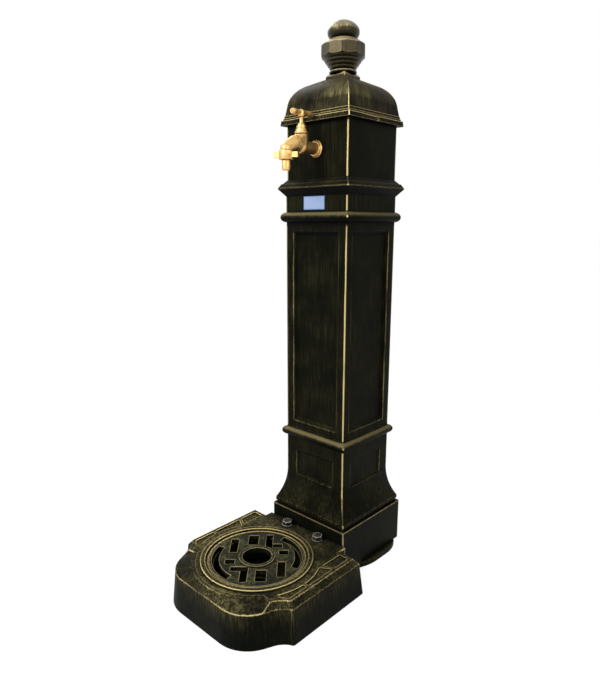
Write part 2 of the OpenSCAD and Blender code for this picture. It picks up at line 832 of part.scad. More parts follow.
module shaft() {
    color("#3d3a2c")
    at_column() difference() {
        translate([0, 0, shaft_z]) block(shaft_w, shaft_w, shaft_h);
        translate([0, 0, shaft_z + flange_t]) block(shaft_room_w, shaft_room_w, shaft_h - 2*flange_t);
        translate([0, 0, shaft_z - flange_t/2]) flange_holes();
        translate([0, 0, head_z - 1.5*flange_t]) flange_holes();
        four_faces(shaft_w/2, shaft_z + shaft_h/2)
            sunk_panel(panel_w, shaft_h - 2*panel_end, panel_sink, panel_reveal);
        for (x = [-clip_pitch/2, clip_pitch/2])
            translate([x, -shaft_room_w/2 - screw_in - seat_gap, clip_h]) rotate([-90, 0, 0])
                cylinder(h = 2*screw_in, r = 2 + thread_gap);
    }
}

module joint_bolts() {
    color("#8d8f92")
    at_column() for (z = [shaft_z, head_z])
        four_corners(joint_pitch) translate([0, 0, z - flange_t]) rotate([180, 0, 0])
            bolt(joint_bolt_r, 2*flange_t + 2*joint_bolt_r, 1.4*joint_bolt_r);
}

module joint_nuts() {
    color("#8d8f92")
    at_column() for (z = [shaft_z, head_z])
        four_corners(joint_pitch) translate([0, 0, z + flange_t]) nut(joint_bolt_r);
}

module cornice_section() {
    edge = cornice_w/2;
    edge_top = cornice_slope_h + cornice_edge_h;
    ledge_z = edge_top + cornice_rise;
    polygon([[0, 0], [frieze_w/2, 0], [edge, cornice_slope_h], [edge, edge_top], [edge - cornice_lean, ledge_z],
        [edge - cornice_lean - cornice_ledge, ledge_z], [box_w/2, cornice_h], [0, cornice_h]]);
}

module head_section() {
    torus_section(frieze_w/2);
    square([frieze_w/2, cornice_z - head_z]);
    translate([0, cornice_z - head_z]) cornice_section();
    square([box_w/2, cap_z + cap_lap - head_z]);
}

module head() {
    color("#3d3a2c")
    at_column() difference() {
        translate([0, 0, head_z]) mitred(2*cornice_w) head_section();
        translate([0, 0, head_z + flange_t]) block(head_room_w, head_room_w, overall_h);
        translate([0, 0, head_z - flange_t/2]) flange_holes();
        translate([0, 0, tap_z]) rotate([90, 0, 0]) cylinder(h = box_w, r = inlet_r + seat_gap);
        for (x = [-elbow_screw_pitch/2, elbow_screw_pitch/2])
            translate([x, -head_room_w/2 - screw_in - seat_gap, tap_z]) rotate([-90, 0, 0])
                cylinder(h = 2*screw_in, r = 2 + thread_gap);
    }
}

module vault_section() {
    foot = vault_w/2;
    polygon([[0, 0], [foot, 0], [foot - vault_lean, vault_foot_h], [0, vault_foot_h]]);
    intersection() {
        translate([vault_cx, vault_cz]) circle(vault_r);
        translate([0, vault_foot_h]) square([foot, vault_h - vault_foot_h]);
    }
    knee = [vault_cx + vault_r*cos(vault_knee), vault_cz + vault_r*sin(vault_knee)];
    polygon([[0, 0], [knee[0], 0], knee, [vault_top_w/2, vault_h], [0, vault_h]]);
}

module cap_section() {
    polygon([[0, 0], [fascia_w/2, 0], [fascia_w/2 - fascia_lean, fascia_h], [0, fascia_h]]);
    square([fillet_low_w/2, fillet_high_z - cap_z]);
    square([fillet_high_w/2, vault_z - cap_z]);
    translate([0, vault_z - cap_z]) vault_section();
}

// room inside the cap, its roof following the vault
module cap_room_section() {
    room = head_room_w/2;
    top = finial_z - cap_z - flange_t;
    square([box_w/2 + seat_gap, cap_lap]);
    polygon([[0, 0], [room, 0], [room, vault_z - cap_z + vault_foot_h/2],
        [room/2, top - 6], [vault_top_w/2 - cast_wall, top], [0, top]]);
}

module cap() {
    color("#3d3a2c")
    at_column() difference() {
        translate([0, 0, cap_z]) mitred(2*fascia_w) cap_section();
        translate([0, 0, cap_z]) mitred(2*fascia_w) cap_room_section();
        translate([0, 0, finial_z - 2*flange_t]) cylinder(h = 3*flange_t, r = joint_bolt_r + seat_gap);
        for (a = [90, -90])
            translate([0, 0, cap_z + cap_lap/2]) rotate([0, a, 0]) cylinder(h = fascia_w, r = cap_screw_r + thread_gap);
    }
}

module cap_screws() {
    color("#2a2a28")
    at_column() for (a = [90, -90])
        translate([0, 0, cap_z + cap_lap/2]) rotate([0, a, 0]) translate([0, 0, box_w/2])
            difference() {
                cylinder(h = fascia_w/2 - box_w/2 - 1.2, r = cap_screw_r);
                translate([0, 0, fascia_w/2 - box_w/2 - 3]) hexagon(cap_screw_r/2, 4);
            }
}

module stem_section() {
    run = [cup_r - cup_flat - 0.5 - stem_r, stem_h];
    out = [run[1], -run[0]]/norm(run);
    intersection() {
        union() {
            polygon([[0, 0], [stem_r - bead_sink, 0], [stem_r + run[0] - bead_sink, stem_h], [0, stem_h]]);
            for (i = [0:3])
                translate([stem_r, 0] + run*(i + 0.5)/4 - bead_r*out) circle(bead_r);
        }
        square([cup_r, stem_h]);
    }
}

module ball_section() {
    side_x = ball_r - bend_ease - ball_side_r;
    crown_r = (side_x^2 + ball_rise^2 - ball_side_r^2)/(2*(ball_rise - ball_side_r));
    crown_x = crown_r*side_x/(crown_r - ball_side_r);
    intersection() {
        translate([0, ball_h - crown_r]) circle(crown_r, $fn = 180);
        translate([0, ball_h - 2*ball_rise + crown_r]) circle(crown_r, $fn = 180);
        union() {
            square([crown_x, ball_h]);
            translate([side_x, ball_h - ball_rise]) circle(ball_side_r + bend_ease);
        }
        square([ball_r + over, ball_h]);
    }
}

module finial() {
    stem_z = foot_h + collar_h;
    cup_z = stem_z + stem_h;
    shoulder_z = cup_z + cup_h;
    ball_z = shoulder_z + cup_shoulder_h;
    color("#7a6030")
    at_column() translate([0, 0, finial_z]) difference() {
        union() {
            mitred(2*foot_w) polygon([[0, 0], [foot_w/2, 0], [foot_w/2, foot_h/2], [stem_r - 4, foot_h], [0, foot_h]]);
            rotate_extrude() {
                translate([collar_r - collar_h/2, foot_h + collar_h/2]) circle(collar_h/2);
                translate([0, foot_h]) square([collar_r - collar_h/2, collar_h]);
                translate([0, stem_z]) stem_section();
                translate([0, ball_z]) ball_section();
            }
            intersection() {
                rotate_extrude()
                    translate([0, cup_z]) polygon([[0, 0], [cup_r - 1.5, 0], [cup_r, 1.5], [cup_r, cup_h - 2],
                        [cup_r - 2, cup_h], [ball_r - 3, cup_h + cup_shoulder_h], [0, cup_h + cup_shoulder_h]]);
                rotate(-90) translate([0, 0, cup_z]) cylinder(h = cup_h + cup_shoulder_h,
                    r = (cup_r - cup_flat)/cos(180/cup_flats), $fn = cup_flats);
            }
        }
        translate([0, 0, -over]) cylinder(h = stud_in + 3*over, r = joint_bolt_r + thread_gap);
    }
}

module finial_stud() {
    color("#8d8f92")
    at_column() translate([0, 0, finial_z - flange_t - 2.4*joint_bolt_r])
        cylinder(h = flange_t + 2.4*joint_bolt_r + stud_in, r = joint_bolt_r);
}

module finial_nut() {
    color("#8d8f92")
    at_column() translate([0, 0, finial_z - flange_t - 1.6*joint_bolt_r]) nut(joint_bolt_r);
}

module wall_flange() {
    color("#c9a24a")
    translate([0, face_y, tap_z]) rotate([90, 0, 0]) rotate_extrude() difference() {
        polygon([[0, 0], [rose_r, 0], [rose_r, 2], [rose_r - 1.5, 3.5], [inlet_r + 2.5, rose_t - 1],
            [inlet_r + 1.5, rose_t], [0, rose_t]]);
        translate([0, -over]) square([inlet_r + thread_gap, rose_t + 2*over]);
    }
}

// sloping run of the spout from the given distance before the spindle to the bend, and its way down
module spout_path(r, start, drop) {
    tap_plane() translate([spindle_reach, spout_rise, 0]) rotate([0, 0, -spout_slope]) translate([start, 0, 0])
        rotate([0, 90, 0]) cylinder(h = spout_run - start, r = r);
    on_spout() {
        translate([0, 0, -spout_low]) sphere(r + bend_ease);
        translate([0, 0, -drop]) cylinder(h = drop - spout_low, r = r);
    }
}

module tap_body() {
    color("#c9a24a")
    difference() {
        union() {
            translate([0, face_y + cast_wall + tail_in, tap_z]) rotate([90, 0, 0])
                cylinder(h = spindle_reach + cast_wall + tail_in, r = inlet_r);
            on_spindle() {
                sphere(tower_r);
                cylinder(h = tower_h, r = tower_r);
            }
            difference() {
                spout_path(spout_r, 0, spout_drop);
                on_spout() translate([0, 0, -2*spout_r - spout_drop]) cylinder(h = 2*spout_r, r = lug_reach + 2*over);
            }
            on_spout() translate([0, 0, mouth_z]) cylinder(h = spout_thread_len + over, r = spout_thread_r);
        }
        translate([0, face_y + cast_wall + tail_in + over, tap_z]) rotate([90, 0, 0])
            cylinder(h = spindle_reach + cast_wall + tail_in + over, r = inlet_bore_r);
        on_spindle() {
            cylinder(h = tower_h, r = seat_r);
            translate([0, 0, seat_h]) cylinder(h = tower_h, r = chamber_r);
            translate([0, 0, tower_h]) cylinder(h = tower_h, r = tower_r + seat_gap);
            translate([0, 0, seat_h + passage_r + seat_gap]) rotate([90, 0, 0])
                cylinder(h = tower_r, r = passage_r);
        }
        spout_path(spout_bore_r, spout_bore_in, over - mouth_z);
    }
}

module bonnet_washer() {
    color("#2b2b2b")
    on_spindle() translate([0, 0, tower_h]) tube(bonnet_r - seat_gap, chamber_r, bonnet_washer_t);
}

module bonnet() {
    color("#c9a24a")
    on_spindle() difference() {
        union() {
            translate([0, 0, bonnet_z - bonnet_thread_len]) cylinder(h = bonnet_thread_len, r = chamber_r - thread_gap);
            translate([0, 0, bonnet_z]) cylinder(h = bonnet_flange_h, r = bonnet_r);
            translate([0, 0, bonnet_z]) cylinder(h = neck_z - bonnet_z, r = bonnet_shoulder_r);
            translate([0, 0, bonnet_z]) cylinder(h = neck_top - bonnet_z, r = bonnet_neck_r);
        }
        cylinder(h = stop_z, r = carrier_r + run_gap);
        cylinder(h = tee_h, r = spindle_r + run_gap);
        translate([0, 0, neck_z]) cylinder(h = tee_h, r = packing_r);
    }
}

module gland_packing() {
    color("#d8d4c8")
    on_spindle() translate([0, 0, neck_z]) tube(packing_r, spindle_r + run_gap, bonnet_neck_h);
}

module gland_nut() {
    color("#c9a24a")
    on_spindle() difference() {
        union() {
            translate([0, 0, neck_z]) cylinder(h = neck_top + 1.5 - neck_z, r = gland_r);
            translate([0, 0, neck_z]) cylinder(h = gland_top - 1.5 - neck_z, r = gland_r - 1.7);
            translate([0, 0, gland_top - 1.5]) cylinder(h = 1.5, r1 = gland_r - 1.7, r2 = spindle_r + 1.3);
        }
        translate([0, 0, neck_z - over]) cylinder(h = bonnet_neck_h + over, r = bonnet_neck_r + thread_gap);
        cylinder(h = tee_h, r = spindle_r + run_gap);
    }
}

module spindle() {
    color("#d2ae5a")
    on_spindle() difference() {
        union() {
            translate([0, 0, spindle_low]) cylinder(h = hub_top - 3 - spindle_low, r = spindle_thread_r);
            translate([0, 0, stop_z - 2]) cylinder(h = 1.9, r = carrier_r - 0.35);
            translate([0, 0, stop_z - 2]) cylinder(h = hub_z - stop_z + 2, r = spindle_r);
        }
        translate([0, 0, hub_z - 2]) cylinder(h = tee_h, r = 1.25 + thread_gap);
    }
}

module tee_handle() {
    half = tee_len/2;
    color("#d2ae5a")
    on_spindle() difference() {
        union() {
            translate([0, half, tee_h]) rotate([90, 0, 0]) rotate_extrude() two_ended(half) {
                translate([0, tee_hub_r]) square([tee_waist_r, half - tee_hub_r]);
                polygon([[0, 0], [tee_waist_r, 0], [tee_waist_r, half/2], [tee_end_r, half - tee_end_r], [0, half - 1]]);
                intersection() {
                    translate([tee_end_r - 4, half - 4]) circle(4);
                    translate([0, half - tee_end_r]) square([tee_end_r, tee_end_r]);
                }
                translate([0, half - tee_end_r]) square([tee_end_r - 4, tee_end_r]);
            }
            translate([0, 0, hub_z]) cylinder(h = hub_top - hub_z - 2, r = tee_hub_r);
            translate([0, 0, hub_top - 2]) cylinder(h = 2, r1 = tee_hub_r, r2 = tee_hub_r - 2);
        }
        translate([0, 0, hub_z - over]) cylinder(h = hub_top - hub_z - 2.9 + over, r = spindle_thread_r + run_gap);
        cylinder(h = 2*tee_h, r = 1.25 + seat_gap);
        for (a = [90, -90])
            translate([0, 0, tee_h]) rotate([a, 0, 0]) translate([0, 0, half - 1.5]) cylinder(h = 3, r1 = 0.8, r2 = 2.4);
    }
}

// shape drawn from the middle to one end, used for both ends of a bar of the given half length
module two_ended(half) {
    translate([0, half]) children();
    translate([0, half]) mirror([0, 1]) children();
}

module handle_screw() {
    color("#d2ae5a")
    on_spindle() translate([0, 0, hub_z - 1]) {
        cylinder(h = hub_top - hub_z + 1, r = 1.25);
        translate([0, 0, hub_top - hub_z + 1]) cylinder(h = 1.2, r1 = 2.8, r2 = 1.8);
    }
}

module valve_carrier() {
    color("#c9a24a")
    on_spindle() difference() {
        union() {
            translate([0, 0, plate_z]) cylinder(h = plate_t, r = tap_washer_r);
            translate([0, 0, plate_z]) cylinder(h = carrier_top - plate_z, r = carrier_r);
            translate([0, 0, seat_h - 3]) cylinder(h = plate_z + over - seat_h + 3, r = 1.5);
        }
        translate([0, 0, plate_z + plate_t - 0.3]) cylinder(h = tower_h, r = spindle_thread_r + run_gap);
    }
}

module tap_washer() {
    color("#1d1d1d")
    on_spindle() translate([0, 0, seat_h]) tube(tap_washer_r, 1.5 + thread_gap, tap_washer_t);
}

module washer_nut() {
    color("#c9a24a")
    on_spindle() translate([0, 0, seat_h - 2]) difference() {
        hexagon(3, 2);
        translate([0, 0, -over]) cylinder(h = 4, r = 1.5 + thread_gap);
    }
}

module union_nut() {
    color("#c9a24a")
    on_spout() difference() {
        union() {
            translate([0, 0, union_z]) cylinder(h = union_h - 1, r = union_r);
            translate([0, 0, union_z + union_h - 1]) cylinder(h = 1, r1 = union_r, r2 = union_r - 1);
            rotate(lug_turn) translate([0, 0, union_z + union_h/2])
                cube([2*lug_reach, lug_w, lug_w], center = true);
        }
        translate([0, 0, union_z + lip_t]) cylinder(h = union_h, r = spout_thread_r + run_gap);
        translate([0, 0, union_z - over]) cylinder(h = union_h, r = tail_r + seat_gap);
    }
}

module union_washer() {
    color("#1d1d1d")
    on_spout() translate([0, 0, tail_flange_z + tail_flange_t])
        tube(spout_thread_r - seat_gap, tail_bore_r, mouth_z - tail_flange_z - tail_flange_t);
}

module hose_tail() {
    color("#c9a24a")
    on_spout() difference() {
        union() {
            translate([0, 0, tail_flange_z]) cylinder(h = tail_flange_t, r = spout_thread_r - seat_gap);
            translate([0, 0, tail_z + 1.5]) cylinder(h = tail_len - 1.5 - seat_gap, r = tail_r);
            translate([0, 0, tail_z + 1.5]) cylinder(h = tail_flange_z - tail_z, r = tail_r - seat_gap);
            translate([0, 0, tail_z]) cylinder(h = 1.5, r1 = tail_r - 1, r2 = tail_r);
        }
        translate([0, 0, tail_z - over]) cylinder(h = tail_len + union_h, r = tail_bore_r);
    }
}

module tap_elbow() {
    color("#b8954a")
    translate([0, inner_y, tap_z]) difference() {
        union() {
            translate([-plate_w/2, 0, -elbow_r]) cube([plate_w, plate_d, 2*elbow_r]);
            rotate([-90, 0, 0]) cylinder(h = riser_setback, r = elbow_r);
            translate([0, riser_setback, 0]) sphere(elbow_r);
            translate([0, riser_setback, -elbow_drop]) cylinder(h = elbow_drop, r = riser_r + elbow_wall);
        }
        translate([0, -over, 0]) rotate([-90, 0, 0]) cylinder(h = tail_in + 2*over, r = inlet_r + thread_gap);
        rotate([-90, 0, 0]) cylinder(h = riser_setback, r = riser_r - pipe_wall);
        translate([0, riser_setback, -elbow_drop]) cylinder(h = elbow_drop, r = riser_r - pipe_wall);
        translate([0, riser_setback, -elbow_drop - over]) cylinder(h = socket_len + over, r = riser_r + thread_gap);
        for (x = [-elbow_screw_pitch/2, elbow_screw_pitch/2])
            translate([x, -over, 0]) rotate([-90, 0, 0]) cylinder(h = 2*plate_d, r = 2 + seat_gap);
    }
}

module round_screw(len) {
    translate([0, 0, -len]) cylinder(h = len, r = 2);
    cylinder(h = 2, r1 = 3.8, r2 = 2.4);
}

module elbow_screws() {
    color("#8d8f92")
    for (x = [-elbow_screw_pitch/2, elbow_screw_pitch/2])
        translate([x, inner_y + plate_d, tap_z]) rotate([-90, 0, 0]) round_screw(plate_d + screw_in);
}

module riser_pipe() {
    color("#b87445")
    translate([0, riser_y, riser_low]) tube(riser_r, riser_r - pipe_wall, riser_top - riser_low);
}

module pipe_clip() {
    reach = riser_y - clip_wall_y;
    color("#8d8f92")
    translate([0, clip_wall_y, clip_h]) difference() {
        union() {
            translate([-clip_w/2, 0, -clip_d/2]) cube([clip_w, clip_t, clip_d]);
            translate([-4, 0, -clip_d/2]) cube([8, reach, clip_d]);
            translate([0, reach, -clip_d/2]) cylinder(h = clip_d, r = riser_r + 2.5);
        }
        translate([0, reach, -clip_d]) cylinder(h = 2*clip_d, r = riser_r + thread_gap);
        for (x = [-clip_pitch/2, clip_pitch/2])
            translate([x, -over, 0]) rotate([-90, 0, 0]) cylinder(h = 2*clip_t, r = 2 + seat_gap);
    }
}

module clip_screws() {
    color("#8d8f92")
    for (x = [-clip_pitch/2, clip_pitch/2])
        translate([x, clip_wall_y + clip_t, clip_h]) rotate([-90, 0, 0]) round_screw(clip_t + screw_in);
}

module supply_elbow() {
    r = supply_r + elbow_wall;
    color("#b8954a")
    translate([0, riser_y, supply_h]) difference() {
        union() {
            sphere(r);
            cylinder(h = elbow_drop, r = riser_r + elbow_wall);
            rotate([-90, 0, 0]) cylinder(h = 2*socket_len, r = r);
        }
        cylinder(h = elbow_drop, r = riser_r - pipe_wall);
        rotate([-90, 0, 0]) cylinder(h = 2*socket_len, r = riser_r - pipe_wall);
        translate([0, 0, elbow_drop - socket_len]) cylinder(h = 2*socket_len, r = riser_r + thread_gap);
        translate([0, socket_len, 0]) rotate([-90, 0, 0]) cylinder(h = 2*socket_len, r = supply_r + thread_gap);
    }
}

module supply_pipe() {
    color("#b8954a")
    translate([0, supply_start, supply_h]) rotate([-90, 0, 0]) difference() {
        union() {
            cylinder(h = supply_end - supply_start - supply_free, r = supply_r);
            cylinder(h = supply_end - supply_start, r = supply_r - 0.2);
        }
        translate([0, 0, -over]) cylinder(h = supply_end, r = supply_r - 2.4);
    }
}

module supply_nuts() {
    color("#b8954a")
    at_column() for (y = [plinth_room_w/2 - wall_nut_t, plinth_w/2])
        translate([0, y, supply_h]) rotate([-90, 0, 0]) difference() {
            hexagon(1.6*supply_r, wall_nut_t);
            translate([0, 0, -over]) cylinder(h = 2*wall_nut_t, r = supply_r + thread_gap);
        }
}

base_tray();
drain_grate();
tray_bolts();
tray_washers();
sole_plate();
foot_bolts();
foot_nuts();
pedestal();
shaft();
joint_bolts();
joint_nuts();
head();
cap();
cap_screws();
finial();
finial_stud();
finial_nut();
wall_flange();
tap_body();
bonnet_washer();
bonnet();
gland_packing();
gland_nut();
spindle();
tee_handle();
handle_screw();
valve_carrier();
tap_washer();
washer_nut();
union_nut();
union_washer();
hose_tail();
tap_elbow();
elbow_screws();
riser_pipe();
pipe_clip();
clip_screws();
supply_elbow();
supply_pipe();
supply_nuts();
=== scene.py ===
"""Look of the garden standpipe: finishes, softened castings, a fuller tap, a blank label and a studio."""

import logging
import math
from dataclasses import dataclass
from enum import Enum
from typing import Any

import bmesh
import bpy
from mathutils import Matrix, Vector


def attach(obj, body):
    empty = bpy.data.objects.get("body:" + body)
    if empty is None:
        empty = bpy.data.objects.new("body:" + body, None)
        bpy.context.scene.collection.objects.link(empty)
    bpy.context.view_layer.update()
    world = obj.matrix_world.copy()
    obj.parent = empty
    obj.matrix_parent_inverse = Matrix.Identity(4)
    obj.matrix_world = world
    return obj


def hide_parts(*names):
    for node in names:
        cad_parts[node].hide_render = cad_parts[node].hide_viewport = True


logging.basicConfig(level=logging.INFO, format="%(name)s: %(message)s")
LOG = logging.getLogger("standpipe")

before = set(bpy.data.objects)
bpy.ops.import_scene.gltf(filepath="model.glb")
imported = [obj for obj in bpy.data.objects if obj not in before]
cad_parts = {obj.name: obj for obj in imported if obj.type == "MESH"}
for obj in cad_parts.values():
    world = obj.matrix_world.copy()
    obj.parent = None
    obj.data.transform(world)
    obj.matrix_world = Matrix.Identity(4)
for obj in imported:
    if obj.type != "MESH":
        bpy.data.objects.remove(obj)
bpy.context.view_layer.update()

Tree = bpy.types.NodeTree
Socket = bpy.types.NodeSocket
Place = tuple[float, float, float]

MM = 0.001
FIXED_BODY = "standpipe"


class Brush(Enum):
    """Way in which the bronze bloom was brushed on."""

    DOWN_WALLS = "straight down upright walls, dabbed on level faces"
    DOWN_SLOPES = "down the fall of each of four sloping faces"


@dataclass(frozen=True)
class Span:
    """Two values between which something comes in, from nothing to the whole of it."""

    low: float
    high: float

    def read(self, value: Socket) -> dict[str, Any]:
        """Inputs with which a Map Range node reads a value over this span."""
        return {"Value": value, "From Min": self.low, "From Max": self.high}


def extent_mm(node: str) -> tuple[Vector, Vector]:
    """Lowest and highest corner of a CAD node, to a hundredth of a millimetre.

    Args:
        node: Name of the node.

    Returns:
        Both corners in millimetres.
    """
    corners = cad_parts[node].bound_box
    low, high = (Vector([round(part / MM, 2) for part in corners[i]]) for i in (0, 6))
    return low, high


# the two half-round mouldings at the ends of the shaft
TORUS_MM = 18.0
PEDESTAL_TOP_MM = extent_mm("pedestal")[1].z
HEAD_FOOT_MM = extent_mm("head")[0].z
TORUSES_MM = (
    (PEDESTAL_TOP_MM - TORUS_MM, PEDESTAL_TOP_MM),
    (HEAD_FOOT_MM, HEAD_FOOT_MM + TORUS_MM),
)

# settings that many shader nodes share
SMOOTH = {"interpolation_type": "SMOOTHSTEP", "clamp": True}
TIMES = {"operation": "MULTIPLY"}
PLUS = {"operation": "ADD"}
GREATER_OF = {"operation": "MAXIMUM"}
COLOURS = {"data_type": "RGBA"}
VECTORS = {"data_type": "VECTOR"}
COARSE_NOISE = {"Detail": 3.0, "Roughness": 0.6}
FINE_NOISE = {"Detail": 2.0, "Roughness": 0.6}

# numbers of the Mix node's sockets, whose names repeat
SHARE = 0
VECTOR_A, VECTOR_B, VECTOR_OUT = 4, 5, 1
COLOUR_A, COLOUR_B, COLOUR_OUT = 6, 7, 2

# rays with which a shader feels for edges, crevices and cover
EDGE_RAYS = 10
BEVEL_RAYS = 8
CREVICE_RAYS = 16
FLOOR_RAYS = 8
CREVICE_MM = 12.0

# spans of tilt, which is one on a level top, nought on a wall and less than nought underneath
UNDER_TILT = Span(-0.12, -0.01)
SLOPE_TILT = Span(0.05, 0.4)
CREST_TILT = Span(0.1, 0.75)
EDGE_TILT = Span(0.15, 0.5)
LYING_TILT = Span(0.5, 0.9)
LEVEL_TILT = Span(0.8, 0.97)

# spans of a noise pattern between its dark and its bright parts
WIDE_NOISE = Span(0.3, 0.7)
PATCH_NOISE = Span(0.32, 0.68)
STROKE_NOISE = Span(0.36, 0.72)
MARK_NOISE = Span(0.5, 0.8)

# spans of open air round a point, which is one on a free flat face; the painted shade in crevices grows the
# other way
REACH_AIR = Span(0.58, 0.88)
CREVICE_SHADE_AIR = Span(0.85, 0.35)
# the floor's white glow gives way to the lit floor in nooks: a contact shade, partly real shadow and partly
# painted
FLOOR_SHADE_AIR = Span(0.25, 0.46)

# painted highlight: edges that face the camera, from the front right and above, show the most gold
HIGHLIGHT_FROM = (0.6, -0.6, 0.53)
FACING_HIGHLIGHT = Span(0.4, 0.76)

# how a pattern is drawn out along the brush strokes: the smaller the number, the longer the stroke
DOWN_FRONT_SLOPE = (1.0, 0.07, 0.07)
DOWN_SIDE_SLOPE = (0.07, 1.0, 0.07)
DOWN_WALL = (1.0, 1.0, 0.05)
DABBED = (0.5, 0.5, 0.5)


def srgb(code: str) -> tuple[float, float, float, float]:
    """Linear colour of an sRGB hex code.

    Args:
        code: Six hex digits after a hash sign.

    Returns:
        Linear red, green, blue and an alpha of one.
    """
    parts = [int(code[i : i + 2], 16) / 255 for i in (1, 3, 5)]
    linear = [c / 12.92 if c <= 0.04045 else ((c + 0.055) / 1.055) ** 2.4 for c in parts]
    return (linear[0], linear[1], linear[2], 1.0)


def add(
    tree: Tree,
    kind: str,
    settings: dict[str, Any] | None = None,
    inputs: dict[Any, Any] | None = None,
) -> bpy.types.Node:
    """Adds a shader node, sets it up and links what feeds it.

    Args:
        tree: Node tree of the material or the world.
        kind: Blender's node type name.
        settings: Node attributes.
        inputs: Input names or numbers, each with a constant or with the socket to link.

    Returns:
        The new node.
    """
    node = tree.nodes.new(kind)
    for key, value in (settings or {}).items():
        setattr(node, key, value)
    for key, value in (inputs or {}).items():
        if isinstance(value, Socket):
            tree.links.new(value, node.inputs[key])
        else:
            node.inputs[key].default_value = value
    return node


def blank_material(name: str) -> tuple[bpy.types.Material, Tree, bpy.types.Node]:
    """Makes a material that holds only a shader and its output.

    Args:
        name: Name of the material.

    Returns:
        The material, its node tree and its principled shader.
    """
    material = bpy.data.materials.new(name)
    material.use_nodes = True
    tree = material.node_tree
    tree.nodes.clear()
    shader = add(tree, "ShaderNodeBsdfPrincipled")
    add(tree, "ShaderNodeOutputMaterial", inputs={"Surface": shader.outputs["BSDF"]})
    return material, tree, shader


def per_metre(size_mm: float) -> float:
    """Texture scale at which one patch has the given size in millimetres."""
    return 1.0 / (size_mm * MM)


def placed(name: str, shape: bmesh.types.BMesh) -> bpy.types.Object:
    """Puts a finished shape into the scene.

    Args:
        name: Name of the new object.
        shape: The shape, which is used up.

    Returns:
        The new object.
    """
    mesh = bpy.data.meshes.new(name)
    shape.to_mesh(mesh)
    shape.free()
    thing = bpy.data.objects.new(name, mesh)
    bpy.context.scene.collection.objects.link(thing)
    return thing


@dataclass(frozen=True)
class Finish:
    """Surface of a piece, named for its material and for how it was made."""

    name: str

    def build(self) -> bpy.types.Material:
        """Builds the material, which each kind of finish does in its own way."""
        raise NotImplementedError


